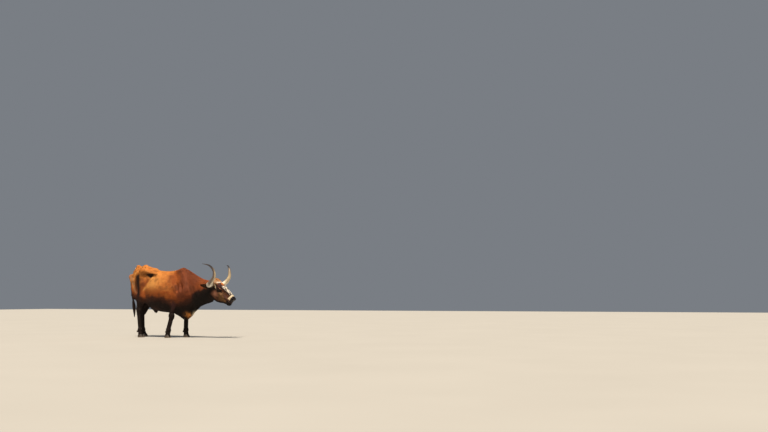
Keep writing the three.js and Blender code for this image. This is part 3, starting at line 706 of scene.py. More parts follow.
def relax(mesh):
    # evens out the net, with each point half-way to the middle of its neighbours
    points = meshPoints(mesh)
    a, b = readAll(mesh.edges, "vertices", np.int64, 2).T
    total = np.zeros_like(points)
    np.add.at(total, a, points[b])
    np.add.at(total, b, points[a])
    count = np.bincount(a, minlength=len(points)) + np.bincount(b, minlength=len(points))
    return points + (total / np.maximum(count, 1)[:, None] - points) * 0.5


def layPoints(skin, points):
    skin.data.vertices.foreach_set("co", toMetres(points).ravel())
    skin.data.update()


points, quads = coarseSkin()
points = projectOn(points, 3)
skin = meshObject("skin", points, quads)
for level, steps in skinGrid["laySteps"].items():
    refine(skin, level)
    layPoints(skin, projectOn(relax(skin.data), steps))
print("skin laid on its forms:", len(skin.data.polygons), "faces")


def skinRelief(points, normals):
    # folds, ribs, lids, nostrils and mouth, as moves of the skin in millimetres
    x, y, z = points.T
    half = np.abs(y)
    side = np.sign(y)
    along, up = intoHead(x, z)
    out = np.zeros(len(points))
    low = noise(points, 130, 1)
    # ribs on the barrel
    barrel = smoothStep(half, 120, 230) * smoothStep(z, 640, 820) * falling(z, 1110, 1220)
    barrel *= smoothStep(x, -620, -520) * falling(x, -140, 60)
    slant = x + (0.22 + 0.4 * smoothStep(-x, 100, 500)) * (1180 - z)
    strength = 0.5 + 1.5 * smoothStep(-x, 160, 460)
    out += barrel * strength * (0.7 + 0.8 * low) * np.cos(turns(slant + 16 * low, 78))
    # slack hide in broad soft folds over the fore part of the barrel and the shoulder
    loose = smoothStep(x, -420, -260) * falling(x, 180, 300) * smoothStep(z, 640, 800)
    out += loose * smoothStep(half, 60, 160) * 4.0 * noise(points * (1, 1, 0.55), 78, 12)
    # spine, from the withers to the tail head
    spine = bump(half, 0, 26) * smoothStep(z, 1240, 1290) * (x < 160)
    out += spine * 2.2 * np.cos(turns(x, 44))
    # folds down the neck, and shallow ones before the shoulder
    onNeck = smoothStep(x, 180, 300) * falling(along, -60, 30) * smoothStep(half, 20, 70)
    fold = np.sin(turns(x * 0.93 + z * 0.4 + 34 * low, 112))
    out += onNeck * falling(z, 1000, 1160) * (2.6 + 2 * low) * fold
    # veins and sinews under thin skin, and slack skin at the flank and elbow
    slack = noise(points * (1, 1, 0.45), 34, 3)
    body = smoothStep(z, 460, 620) * falling(along, -40, 60)
    out += body * 1.5 * slack
    crease = bump(x, -628, 40) * bump(z, 820, 130) * smoothStep(half, 90, 160)
    out += crease * 2.4 * np.sin(turns(x + 0.5 * z, 26))
    # the head
    onHead = smoothStep(along, -20, 60) * (x > 730)
    p, q, rel = eyeCoordinates(along, half, up)
    rim = np.hypot(p / 25, q / np.where(q > 0, 12.5, 10.0))
    lidZone = onHead * (np.linalg.norm(rel, axis=1) < 52) * (rel[:, 1] > 2)
    above = smoothStep(q, -4, 6)
    out += lidZone * above * (-1.7 * bump(rim, 1.52, 0.13) + 1.0 * bump(rim, 1.86, 0.18))
    out += lidZone * (1 - above) * (-1.2 * bump(rim, 1.6, 0.14) + 0.7 * bump(rim, 2.0, 0.2))
    out += lidZone * above * -1.0 * bump(rim, 2.3, 0.14)
    # wrinkles over the brow, and behind the corner of the mouth
    brow = onHead * bump(along, 236, 46) * bump(up, -36, 16) * smoothStep(half, 50, 80)
    out += brow * 1.1 * np.sin(turns(along * 0.5 + up * 0.9, 11))
    corner = onHead * bump(along, 400, 22) * bump(up, -154, 26)
    out += corner * 1.2 * np.sin(turns(np.hypot(along - 440, up + 146), 12))
    # muzzle: a fold behind the pad, the groove under the nose, lips and mouth
    front = smoothStep(along, 566, 590)
    out += onHead * -2.6 * bump(y, 0, 5) * front * smoothStep(up, -118, -104) * (up < -40)
    out += onHead * -1.6 * bump(along - 0.12 * (up + 60), 540, 5) * smoothStep(up, -104, -86)
    fromMouth = up - mouthHeight(along)
    atMouth = onHead * smoothStep(along, 410, 440)
    out += atMouth * -6.5 * bump(fromMouth, 0, 2.4)
    out += atMouth * (1.9 * bump(fromMouth, 7, 4) + 1.5 * bump(fromMouth, -7, 4))
    moved = points + normals * out[:, None]
    # the eye's opening dips under the eye, and the nostril into the nose
    moved[:, 1] -= side * lidZone * falling(rim, 0.88, 1.02) * 8.5
    nostril = np.stack([along, half, up], -1) - head["nostril"]
    inward = unit(np.array([-0.78, -0.6, -0.12]))
    tall = unit(np.array([-0.42, 0.12, 0.9]))
    wide = np.cross(inward, tall)
    ring = np.hypot(nostril @ wide / 9.5, nostril @ tall / 16.0)
    near = onHead * (np.abs(nostril @ inward) < 30)
    deep = near * np.clip(1 - ring ** 2, 0, 1) ** 0.6 * 24
    lift = near * 1.8 * bump(ring, 1.25, 0.22)
    push = inward * (deep - lift)[:, None]
    moved[:, 0] += push[:, 0] * headCos + push[:, 2] * headSin
    moved[:, 1] += push[:, 1] * side
    moved[:, 2] += -push[:, 0] * headSin + push[:, 2] * headCos
    # the dewlap hangs in waves
    hang = smoothStep(x, 60, 240) * falling(x, 700, 790)
    edge = curveThrough([-30, 150, 300, 400, 520, 720], [700, 700, 780, 830, 860, 880])(x)
    hang *= falling(z, edge - 260, edge - 40)
    wave = np.sin(turns(x + 0.5 * z, 168) + 1.6 * low) + 0.5 * noise(points, 70, 13)
    moved[:, 1] += hang * 7.0 * wave
    return moved


layPoints(skin, skinRelief(meshPoints(skin.data), meshNormals(skin.data)))
print("folds and lids made")


# ears, joined to the skin as leaves rolled into a cup
def earLeaf(side):
    root, tip, opening = [np.array(ear[key], float) * (1, side, 1) for key in ("root", "tip", "opensTo")]
    ahead = unit(tip - root)
    opening = unit(opening - ahead * (opening @ ahead))
    edge = np.cross(ahead, opening)
    widthAt = curveThrough(*zip(*ear["width"]))
    rollAt = curveThrough(*zip(*ear["roll"]))
    rings = []
    for t in np.linspace(0, 1, ear["rings"]):
        half = rollAt(t)
        radius = widthAt(t) / (2 * half) - 1.0
        wall = min(ear["thick"], widthAt(t) * 0.2, radius * 0.6)
        middle = root + (tip - root) * t + opening * (radius + 1) * 0.5
        middle[2] -= math.sin(t * math.pi) * 5  # the leaf droops a little along its length
        ring = []
        # round the outside of the leaf and back along its inside, which has low ridges
        for way, reach in ((1, radius), (-1, radius - wall)):
            for j in np.linspace(1, -1, ear["across"]):
                angle = way * half * j
                waver = 1 + 0.02 * math.sin(t * 19 + 3 * way) * abs(j) ** 3
                ridge = 0.6 * math.cos(j * 15) * math.sin(t * math.pi) if way < 0 else 0
                far = reach * waver - ridge
                ring.append(middle - opening * math.cos(angle) * far + edge * math.sin(angle) * far)
        rings.append(ring)
    return np.array(rings)


def ringFaces(rings, sides, start=0):
    faces = []
    for first in range(start, start + (rings - 1) * sides, sides):
        for j in range(sides):
            a = first + j
            b = first + (j + 1) % sides
            faces.append((a, b, b + sides, a + sides))
    return faces


def addEars(skin):
    # gives each added point its place on the ear: how far along, and whether it is inside the cup
    work = bmesh.new()
    work.from_mesh(skin.data)
    alongLayer = work.verts.layers.float.new("earAlong")
    insideLayer = work.verts.layers.float.new("earInside")
    for side in (-1, 1):
        rings = earLeaf(side)
        count, sides = rings.shape[:2]
        made = [work.verts.new(p) for p in toMetres(rings.reshape(-1, 3))]
        for i, vert in enumerate(made):
            vert[alongLayer] = (i // sides) / (count - 1) + 0.001
            vert[insideLayer] = 1.0 if i % sides >= ear["across"] else 0.0
        order = ringFaces(count, sides)
        faces = [work.faces.new([made[k] for k in f]) for f in order]
        for ring in (made[:sides], made[-sides:]):
            faces.append(work.faces.new(ring))
        bmesh.ops.recalc_face_normals(work, faces=faces)
        for face in faces:
            face.smooth = True
    work.to_mesh(skin.data)
    work.free()


addEars(skin)
print("ears added")


# markings, with painted light and shade among them, and lie of the coat, the same for the skin and for
# each tuft
coatColours = {
    "rust": "9a4f1e",
    "orange": "d48a42",
    "gold": "e8b163",
    "redBrown": "6c3520",
    "brown": "4e2a18",
    "belly": "3d2015",
    "dark": "1a0d07",
    "black": "0f0805",
    "cream": "e0cfae",
    "white": "ece4d6",
    "tan": "a9805a",
    "pink": "c08468",
    "olive": "7c5a36",
    "purple": "4a2a2a",
    "muzzle": "1d1415",
    "lip": "34201f",
}
linear = {name: np.array(hexColour(text)) for name, text in coatColours.items()}


def paintBody(layer, x, z, half, along, n1, n2, n3):
    # brightest on hips and upper barrel, partly the coat's own orange and gold and partly painted light
    # from above, redder before the shoulder, dark below
    bright = smoothStep(z + 50 * n1, 860, 1150) * falling(x + 90 * n1 + 30 * n2, -260, 0)
    layer("orange", 0.9 * bright + 0.3 * n2 * bright)
    layer("gold", 0.5 * bump(x + 40 * n1, -450, 150) * bump(z, 1080, 130) * smoothStep(half, 120, 200))
    layer("orange", 0.45 * bump(x + 40 * n2, -80, 110) * bump(z, 960, 170)
          * smoothStep(n2 + n1, -0.3, 0.5))
    layer("redBrown", 0.75 * smoothStep(x + 70 * n1 + 40 * n2, 20, 190))
    layer("rust", 0.6 * smoothStep(x + 40 * n1, 420, 560) * smoothStep(z, 900, 1040))
    layer("brown", 0.4 * smoothStep(n1 + 0.6 * n2, 0.2, 0.9) * smoothStep(z, 700, 900))
    # the last ribs stand out as pale lines of painted highlight, with painted shade between them and on
    # the darker flank behind them
    behind = x + 440 + 0.8 * (1235 - z) + 9 * n2
    flank = falling(behind, -60, -6) * smoothStep(x, -800, -700) * bump(z, 1060, 130)
    layer("rust", 0.85 * flank)
    layer("redBrown", 0.65 * flank * smoothStep(n2, -0.7, 0.3))
    ribLightAndShade = smoothStep(z, 900, 990) * falling(z, 1200, 1250) * smoothStep(half, 130, 200)
    for place, strength in ((8, 0.95), (58, 0.6), (112, 0.3)):
        layer("gold", strength * ribLightAndShade * bump(behind, place, 12) * (0.9 + 0.4 * n2))
        layer("rust", 0.6 * strength * ribLightAndShade * bump(behind, place + 26, 11))
    # painted shadow: the hollow of the flank under the loin's edge, made nearly black
    hollow = falling(z + 5 * n3, 1254, 1276)
    hollow *= smoothStep(z + 0.64 * (x + 668) - 1260 + 6 * n3, -28, 8)
    hollow *= smoothStep(z - 1.3 * (x + 539) - 1178, -34, 10)
    layer("dark", 0.96 * hollow * smoothStep(half, 90, 130))
    # the rump: a dark groove behind the thigh's front muscle, partly darker hair and partly painted
    # shadow in the hollow, and a pale band of painted highlight down from the seat bone
    depth = smoothStep(z, 640, 800) * falling(z, 1215, 1280)
    middle = curveThrough([760, 900, 1060, 1250], [-796, -808, -826, -838])(z)
    groove = bump(x + 7 * n3, middle, curveThrough([760, 900, 1060, 1250], [40, 52, 58, 36])(z))
    layer("redBrown", 0.9 * groove ** 0.5 * depth * smoothStep(half, 100, 140))
    layer("dark", 1.1 * groove ** 0.9 * depth * smoothStep(half, 100, 140))
    # painted highlight: the pale tan band of the buttock's bulge
    middle = curveThrough([860, 1000, 1120, 1230], [-876, -940, -992, -1054])(z)
    band = bump(x + 7 * n3, middle, curveThrough([860, 1000, 1120, 1230], [18, 30, 38, 44])(z))
    layer("tan", 0.85 * band * smoothStep(z, 850, 930) * falling(z, 1200, 1260) * (half > 40))
    # painted highlights: pink on the seat bone's knob and gold along the ridge of the rump above it
    layer("pink", 0.9 * bump(x, -1090, 40) * bump(z, 1206, 44) * bump(half, 110, 50))
    layer("gold", 0.6 * bump(x - 0.62 * (z - 1300), -905, 24) * bump(z, 1300, 70) * (half > 50))
    # painted shade on the rear of the buttock beside the tail, with the tail's own dark hair
    layer("dark", 0.7 * falling(x - 0.25 * (z - 1000) + 8 * n3, -1056, -1026)
          * falling(z, 1060, 1160) * smoothStep(z, 600, 700))
    # dark below: first red-brown, then nearly black, partly the darker hair of the belly, neck and legs
    # and partly painted shade under them
    edge = curveThrough(
        [-1150, -1000, -880, -700, -480, -230, -100, 80, 250, 350, 430, 550, 650, 760, 900],
        [900, 900, 850, 800, 820, 810, 760, 715, 735, 780, 880, 916, 965, 990, 1000],
    )(x)
    body = 1 - smoothStep(along, -30, 40) * (x > 730)
    under = z - edge + 30 * n2 + 16 * n3
    layer("belly", 0.92 * falling(under, -50, 60) * body)
    layer("dark", 0.9 * falling(under, -150, -20) * body)
    # the lower neck and brisket made nearly black: dark hair and painted shade
    foreDark = smoothStep(x, 330, 460) * falling(under, -40, 34)
    layer("black", 0.85 * foreDark * body)
    # the lower legs darkened: dark hair and painted shade
    sole = falling(z, 540, 700)
    layer("black", 0.6 * sole * body)
    # painted highlight: lighter purplish brown on the outer front of the forearms
    forearmHighlight = bump(z, 620, 90) * bump(x, 30, 46) * (half > 180)
    layer("purple", 0.7 * forearmHighlight)
    layer("belly", 0.7 * bump(z, 560, 60) * bump(x, -430, 150) * smoothStep(n2, -0.5, 0.3))
    # painted highlight: a lit orange patch with a cream streak on the front of the brisket
    chestHighlight = bump(x + 0.5 * (z - 440), 276, 66) * bump(z, 440, 52) * smoothStep(0.8 + n3, 0.2, 0.9)
    layer("orange", 0.95 * chestHighlight)
    layer("cream", 0.85 * bump(x - 0.75 * (z - 470), 352, 17) * bump(z, 478, 44))
    tailLow = (x < -1100) * falling(z, 1080, 1240)
    layer("dark", 0.95 * tailLow)


def paintHead(layer, x, z, half, along, up, n2, n3, n4):
    # in its own frame: brown cheek and olive jaw, with the throat and the jaw's lower edge painted black
    # as painted shadow
    onHead = smoothStep(along + 8 * n2, -24, 30) * (x > 730)
    layer("brown", onHead)
    throatShadow = onHead * falling(along - 0.4 * (up + 200) + 12 * n2, 150, 196)
    layer("black", 0.92 * throatShadow * falling(up, -110, -60))
    face = onHead * smoothStep(up + 10 * n2, -330, -290)
    layer("olive", 0.85 * face * bump(along + 14 * n2, 400, 120) * bump(up + 10 * n2, -180, 80))
    layer("pink", 0.95 * face * bump(along, 236, 52) * bump(up + 8 * n2, -206, 54))
    layer("tan", 0.5 * face * bump(along, 330, 50) * bump(up, -120, 36) * smoothStep(n3, -0.6, 0.3))
    layer("purple", 0.85 * face * bump(along + 6 * n3, 430, 54) * bump(up, -112, 22))
    layer("brown", 0.7 * face * bump(along + 6 * n3, 300, 70) * bump(up + 5 * n3, -250, 22))
    # painted shadow: the rounded lower edge of the jaw made black
    jawEdge = curveThrough(
        [100, 215, 300, 380, 450, 510, 600],
        [-262, -286, -286, -254, -216, -190, -150],
    )
    low = falling(up - jawEdge(along) + 8 * n2, -22, 14)
    layer("black", 0.92 * onHead * low)
    # the temple and the brow, with a pale streak over the black round the eye
    patch = face * bump(along + 8 * n3, 188, 56) * smoothStep(up + 8 * n3, -86, -66)
    patch *= falling(up + 5 * n3, -26, -10)
    layer("purple", 0.9 * patch)
    layer("dark", 0.8 * face * bump(along - 0.4 * up, 160, 22) * smoothStep(up, -60, -36)
          * falling(up, -22, -8) * smoothStep(half, 40, 70))
    layer("black", 0.92 * face * bump(along, 146, 66) * bump(up, -116, 36))
    eyeP, eyeQ, rel = eyeCoordinates(along, half, up)
    eyeFar = np.linalg.norm(rel, axis=1)
    around = np.hypot(eyeP / 1.25, eyeQ * 1.0 + 3)
    layer("black", 0.95 * onHead * falling(around + 4 * n3, 30, 50) * (rel[:, 1] > -30))
    lidLight = face * bump(along + 3 * n3, 262, 34) * bump(up - 0.12 * (along - 262), -52, 7)
    layer("pink", 0.9 * lidLight)
    layer("dark", 0.9 * face * bump(up + 0.02 * (along - 300), -34, 13) * smoothStep(along, 190, 240)
          * falling(along, 440, 520))
    mark = (along - 143 + 1.33 * (up + 91)) / 1.664
    cream = bump(mark + 3 * n3, 0, 9) * smoothStep(up, -124, -112) * falling(up, -66, -56)
    layer("cream", 0.95 * face * cream * smoothStep(half, 50, 70))
    # tan crown with one thin white band, an orange edge, and the speckled blaze down the nose
    crown = onHead * smoothStep(up + 7 * n3, -58, -36) * falling(along + 0.4 * up + 9 * n3, 120, 146)
    layer("tan", 0.9 * crown)
    layer("orange", 0.75 * crown * smoothStep(n2 + 0.5 * n3, -0.3, 0.4))
    layer("brown", 0.8 * crown * bump(along, 74, 20) * bump(half, 44, 26))
    bandAlong = along - 1.2 * (up + 20)
    whiteBand = onHead * bump(bandAlong + 5 * n3, 112, 15) * smoothStep(up, -62, -48)
    layer("white", 0.97 * whiteBand)
    bridge = onHead * smoothStep(up + 5 * n3, -24, -8) * smoothStep(along, 140, 172)
    layer("purple", 0.9 * bridge * falling(along, 236, 270))
    middleLine = falling(half + 7 * n3, 26, 46)
    layer("rust", 0.95 * bridge * middleLine * falling(along, 236, 270))
    layer("orange", 0.6 * bridge * middleLine * bump(along, 190, 30))
    speckle = smoothStep(n3 + 0.7 * n4 + 0.35 * n2, -0.34, 0.02)
    blaze = onHead * smoothStep(up + 5 * n4, -24, -10) * smoothStep(along + 9 * n3, 226, 262)
    blaze *= falling(along, 560, 580)
    layer("white", 0.97 * blaze * speckle)
    layer("dark", 0.75 * blaze * (1 - speckle))
    # cream ring behind a black muzzle, black lips and chin
    ring = onHead * smoothStep(along - 0.1 * up, 500, 518) * falling(along + 0.16 * up, 532, 548)
    layer("cream", 0.9 * ring * smoothStep(up + 4 * n3, -106, -84))
    pad = onHead * smoothStep(along + 0.16 * up + 2 * n3, 538, 546) * smoothStep(up, -124, -118)
    layer("muzzle", pad)
    lips = onHead * smoothStep(along, 430, 470) * bump(up - mouthHeight(along), 0, 11)
    layer("lip", 0.9 * lips)
    chin = onHead * smoothStep(along + 6 * n3, 486, 520) * falling(up + 4 * n3, -142, -126)
    layer("black", 0.95 * chin)
    # tan hair on the skin that rises to the horn
    collar = np.stack([x, half, z], -1) - (866, 60, 1088)
    onCollar = (half > 74) * bump(np.linalg.norm(collar * (1, 0.6, 1), axis=1), 50, 40)
    layer("tan", 0.8 * onCollar * (along < 120))
    bare = np.maximum(pad, lips * smoothStep(along, 470, 520))
    return np.maximum(bare, onHead * falling(eyeFar, 27, 31))


def markings(points, earAlong, earInside):
    # the coat's colours with painted light and shade among them, painted one over another, and where the
    # skin is bare
    x, y, z = points.T
    half = np.abs(y)
    along, up = intoHead(x, z)
    n1 = noise(points, 150, 5)
    n2 = noise(points, 52, 6)
    n3 = noise(points, 20, 7)
    n4 = noise(points * (1, 1, 0.5), 9, 8)
    colour = np.tile(linear["rust"], (len(points), 1))

    def layer(name, amount):
        colour[:] = colour + (linear[name] - colour) * np.clip(amount, 0, 1)[:, None]

    paintBody(layer, x, z, half, along, n1, n2, n3)
    bare = paintHead(layer, x, z, half, along, up, n2, n3, n4)
    # ears: dark outside, tan hair inside with a dark rim
    layer("dark", 0.95 * (earAlong > 0))
    layer("tan", 0.16 * (earAlong > 0) * earInside * falling(earAlong, 0.6, 0.95))
    shade = 1 + 0.12 * n3 + 0.08 * n4
    return np.clip(colour * shade[:, None], 0.001, 1), bare


def coatLie(points, normals, earAlong):
    # the way the hair lies: back and down on the body, down the legs and tail, towards the nose
    x, y, z = points.T
    along, up = intoHead(x, z)
    lie = np.tile(np.array([-1.0, 0.0, -0.42]), (len(points), 1))
    # neck and shoulder, rump, legs, tail
    for way, amount in (
        ((-0.75, 0, -0.85), smoothStep(x, 120, 420)),
        ((-0.5, 0, -0.95), smoothStep(-x, 760, 960)),
        ((-0.12, 0, -1.0), falling(z, 560, 800) * ((x < -600) | (np.abs(x) < 190))),
        ((0, 0, -1.0), (x < -1096) * (z < 1300)),
    ):
        lie += amount[:, None] * (np.array(way) - lie)
    onHead = (smoothStep(along, -30, 30) * (x > 730))[:, None]
    forward = np.array([headCos, 0, -headSin])
    toPoll = -forward
    faceLie = toPoll + smoothStep(along, 170, 260)[:, None] * (forward - toPoll)
    cheekDown = falling(up, -190, -110)[:, None] * (along < 360)[:, None]
    faceLie += cheekDown * (np.array([-0.5, 0, -0.9]) - faceLie)
    lie += onHead * (faceLie - lie)
    earway = unit(np.array(ear["tip"], float) - np.array(ear["root"], float))
    onEar = (earAlong > 0)[:, None]
    lie = np.where(onEar, earway * np.stack([np.ones(len(y)), np.sign(y), np.ones(len(y))], -1), lie)
    # slow swirls of about 120 mm
    lie = lie + 0.28 * np.stack([noise(points, 120, layer) for layer in (31, 32, 33)], -1)
    lie -= normals * (lie * normals).sum(1, keepdims=True)
    return unit(lie)


def grainPlace(points, earAlong):
    # the place squeezed along the lie of each region, so that noise read there runs in streaks
    x, _, z = points.T
    along, _ = intoHead(x, z)

    def squeeze(rel, way):
        way = unit(np.array(way, float))
        return rel - 0.88 * (rel @ way)[..., None] * way

    back = (-0.92, 0, -0.39)
    result = squeeze(points, back)
    regions = [
        ((320, 0, 1000), (-0.66, 0, -0.75), smoothStep(x, 220, 420)),
        ((-880, 0, 1200), (-0.46, 0, -0.89), smoothStep(-x, 800, 940)),
        ((-830, 0, 640), (0, 0, -1), falling(z, 560, 760) * (x < -600)),
        ((0, 0, 640), (0, 0, -1), falling(z, 560, 760) * (np.abs(x) < 190)),
        ((-1110, 0, 1240), (0, 0, -1), (x < -1096) * (z < 1300) * 1.0),
        ((800, 0, 1000), (headCos, 0, -headSin), smoothStep(along, -30, 40) * (x > 730)),
        ((790, 0, 1020), (-0.65, 0, 0.1), earAlong > 0),
    ]
    for pivot, way, weight in regions:
        other = squeeze(np.array(pivot, float), back) + squeeze(points - pivot, way)
        result += np.asarray(weight, float)[:, None] * (other - result)
    return result / 1000


# tufts' length and width in millimetres, and how many stand on a square metre
tuftSizes = {
    "body": (17.0, 2.2, 48000.0),
    "legs": (12, 1.8, 84000),
    "head": (9, 1.4, 150000),
    "muzzle": (5, 1.1, 150000),
    "ears": (13, 1.5, 110000),
}


def coatSizes(points, earAlong, earInside, bare):
    x, y, z = points.T
    along, up = intoHead(x, z)
    half = np.abs(y)
    onHead = smoothStep(along, -40, 60) * (x > 730)
    places = {
        "legs": falling(z, 460, 700),
        "head": onHead,
        "muzzle": onHead * smoothStep(along, 360, 520),
    }
    length, width, density = [np.full(len(points), size) for size in tuftSizes["body"]]
    for place, amount in places.items():
        for values, size in zip((length, width, density), tuftSizes[place]):
            values += amount * (size - values)
    crown = onHead * falling(along, 60, 150) * smoothStep(up, -50, -20)
    length += crown * (24 - length)
    crest = smoothStep(z, 1120, 1180) * smoothStep(x, 160, 320) * falling(half, 20, 60)
    length += crest * 6
    fringe = falling(z, 560, 660) * (half < 60) * (x > -700) * (x < 520)
    length += fringe * 8
    sheathTip = bump(x, -520, 34) * bump(z, 512, 40) * (half < 40)
    length += sheathTip * 26
    length += (x < -1096) * falling(z, 700, 1300) * 16
    onEar = earAlong > 0
    earLength, earWidth, earDensity = tuftSizes["ears"]
    length = np.where(onEar, earLength + 9 * earInside * (1 - earAlong), length)
    width = np.where(onEar, earWidth, width)
    density = np.where(onEar, earDensity, density)
    coronet = np.zeros(len(points))
    for leg in legs.values():
        foot = leg["foot"]
        near = (np.abs(x - foot[0]) < 110) & (y * leg["side"] > 0)
        edge = hoof["coronet"] + hoof["slope"] * (x - foot[0] - hoof["centre"])
        coronet = np.maximum(coronet, near * falling(z - edge, 4, 18))
    length += coronet * 5
    density *= falling(bare, 0.2, 0.6)
    return length, width, density


# the skin's map: its numbered patches, each with its low corner and the span of a full turn on it
skinMap = {
    "trunk": (0, (0.01, 0.01), 0.66),
    "head": (1, (0.70, 0.01), 0.26),
    "frontRight": (2, (0.70, 0.30), 0.08),
    "frontLeft": (3, (0.80, 0.30), 0.08),
    "hindRight": (4, (0.70, 0.62), 0.08),
    "hindLeft": (5, (0.80, 0.62), 0.08),
    "tail": (6, (0.92, 0.30), 0.06),
    "earRight": (7, (0.92, 0.62), 0.03),
    "earLeft": (8, (0.92, 0.80), 0.03),
}
mapScale = {"body": 0.00033, "legs": 0.0004, "ears": 0.0001}  # of the map for each millimetre


def patchOfFaces(centres, onEar):
    cx, cy, cz = centres.T
    along, _ = intoHead(cx, cz)
    patch = np.zeros(len(centres), int)
    left = (cy > 0).astype(int)
    patch[(along > -10) & (cx > 745)] = skinMap["head"][0]
    for name, chosen in (
        ("frontRight", (cz < 640) & (np.abs(cy) > 80) & (np.abs(cx) < 220)),
        ("hindRight", (cz < 700) & (np.abs(cy) > 60) & (cx < -620)),
        ("tail", (cx < -1100) & (np.abs(cy) < 60)),
        ("earRight", onEar),
    ):
        patch[chosen] = skinMap[name][0] + (0 if name == "tail" else left[chosen])
    return patch


def unwrap(points, mesh, earAlong, earInside):
    # each part of the body is rolled out round its own axis, into its own patch of the map
    corners = cornerPoints(mesh)
    totals = readAll(mesh.polygons, "loop_total", np.int64)
    faceOf = np.repeat(np.arange(len(totals)), totals)
    centres = np.zeros((len(totals), 3))
    np.add.at(centres, faceOf, points[corners])
    centres /= totals[:, None]
    patch = patchOfFaces(centres, np.bincount(faceOf, earAlong[corners]) > 0)
    which = patch[faceOf]
    px, py, pz = points[corners].T
    mx, my, mz = centres[faceOf].T
    alongPoint, upPoint = intoHead(px, pz)
    _, upMiddle = intoHead(mx, mz)
    uv = np.zeros((len(corners), 2))

    def turn(acrossPoint, outPoint, acrossMiddle, outMiddle):
        # the share of a turn round the axis, on the same round as the middle of the face
        angle = np.arctan2(outPoint, acrossPoint)
        centre = np.arctan2(outMiddle, acrossMiddle)
        angle = angle + 2 * math.pi * np.round((centre - angle) / (2 * math.pi))
        return (angle + math.pi) / (2 * math.pi)

    def lay(name, u, v):
        number, corner, _ = skinMap[name]
        chosen = which == number
        uv[chosen] = np.stack([u, v], -1)[chosen] + corner

    axis = curveThrough([-1100, -700, -200, 330, 760], [1190, 1060, 900, 880, 950])
    lay("trunk", (px + 1170) * mapScale["body"],
        turn(-(pz - axis(px)), py, -(mz - axis(mx)), my) * skinMap["trunk"][2])
    lay("head", (alongPoint + 20) * mapScale["body"],
        turn(-(upPoint + 110), py, -(upMiddle + 110), my) * skinMap["head"][2])
    for name, leg in legs.items():
        lower, upper = ("knee", "elbow") if "knee" in leg else ("hock", "stifle")
        stops = [leg[key] for key in ("foot", "fetlock", lower, upper)]
        heights = [place[2] for place in stops]
        axisX = curveThrough(heights, [place[0] for place in stops])
        axisY = curveThrough(heights, [place[1] * leg["side"] for place in stops])
        share = turn(px - axisX(pz), py - axisY(pz), mx - axisX(mz), my - axisY(mz))
        lay(name, share * skinMap[name][2], pz * mapScale["legs"])
    lay("tail", turn(px + 1130, py - 10, mx + 1130, my - 10) * skinMap["tail"][2],
        (pz - 700) * mapScale["body"])
    for name in ("earRight", "earLeft"):
        fromRoot = pz - ear["root"][2]
        lay(name, skinMap[name][2] * earInside[corners] + fromRoot * mapScale["ears"] + 0.015,
            earAlong[corners] * 0.15)
    return uv, patch, centres


def dressSkin(skin):
    mesh = skin.data
    points = meshPoints(mesh)
    normals = meshNormals(mesh)
    ears = [readAll(mesh.attributes[name].data, "value") for name in ("earAlong", "earInside")]
    earAlong, earInside = ears
    colour, bare = markings(points, earAlong, earInside)
    length, width, density = coatSizes(points, earAlong, earInside, bare)
    setAttribute(mesh, "coatColour", "FLOAT_COLOR", np.insert(colour, 3, 1, 1))
    setAttribute(mesh, "bare", "FLOAT", bare)
    setAttribute(mesh, "lie", "FLOAT_VECTOR", coatLie(points, normals, earAlong))
    setAttribute(mesh, "grain", "FLOAT_VECTOR", grainPlace(points, earAlong))
    setAttribute(mesh, "tuftLength", "FLOAT", length / 1000)
    setAttribute(mesh, "tuftWidth", "FLOAT", width / 1000)
    setAttribute(mesh, "tuftDensity", "FLOAT", density)
    uv, patch, centres = unwrap(points, mesh, earAlong, earInside)
    layer = mesh.uv_layers.new(name="skinUnwrap")
    layer.data.foreach_set("uv", uv.ravel())
    # which piece of the coat each face carries, by its number in the coat's list
    cx, cy, _ = centres.T
    left = cy > 0
    piece = np.where(cx < -560, 0, np.where(cx < -40, 2, 4)) + left
    onHead = np.isin(patch, [skinMap[name][0] for name in ("head", "earRight", "earLeft")])
    piece[onHead] = 6 + left[onHead]
    for number, pair in ((8, ("frontRight", "frontLeft")), (9, ("hindRight", "hindLeft"))):
        piece[np.isin(patch, [skinMap[name][0] for name in pair])] = number
    setAttribute(mesh, "coatPiece", "INT", piece, "FACE")


dressSkin(skin)
print("markings and lie of the coat set")


# materials
def setInputs(tree, node, inputs):
    # a node given as a value stands for its first output, and text for a colour where one is wanted
    for key, value in inputs.items():
        if isinstance(value, bpy.types.Node):
            value = value.outputs[0]
        if isinstance(value, str) and node.inputs[key].type == "RGBA":
            value = (*hexColour(value), 1)
        if isinstance(value, bpy.types.NodeSocket):
            tree.links.new(value, node.inputs[key])
        else:
            node.inputs[key].default_value = value


def addNode(tree, kind, inputs=None, **settings):
    node = tree.nodes.new(kind)
    for name, value in settings.items():
        setattr(node, name, value)
    setInputs(tree, node, inputs or {})
    return node


def newMaterial(name, **shader):
    material = bpy.data.materials.new(name)
    material.use_nodes = True
    tree = material.node_tree
    surface = tree.nodes["Principled BSDF"]
    setInputs(tree, surface, {key.replace("_", " "): value for key, value in shader.items()})
    return material, tree, surface


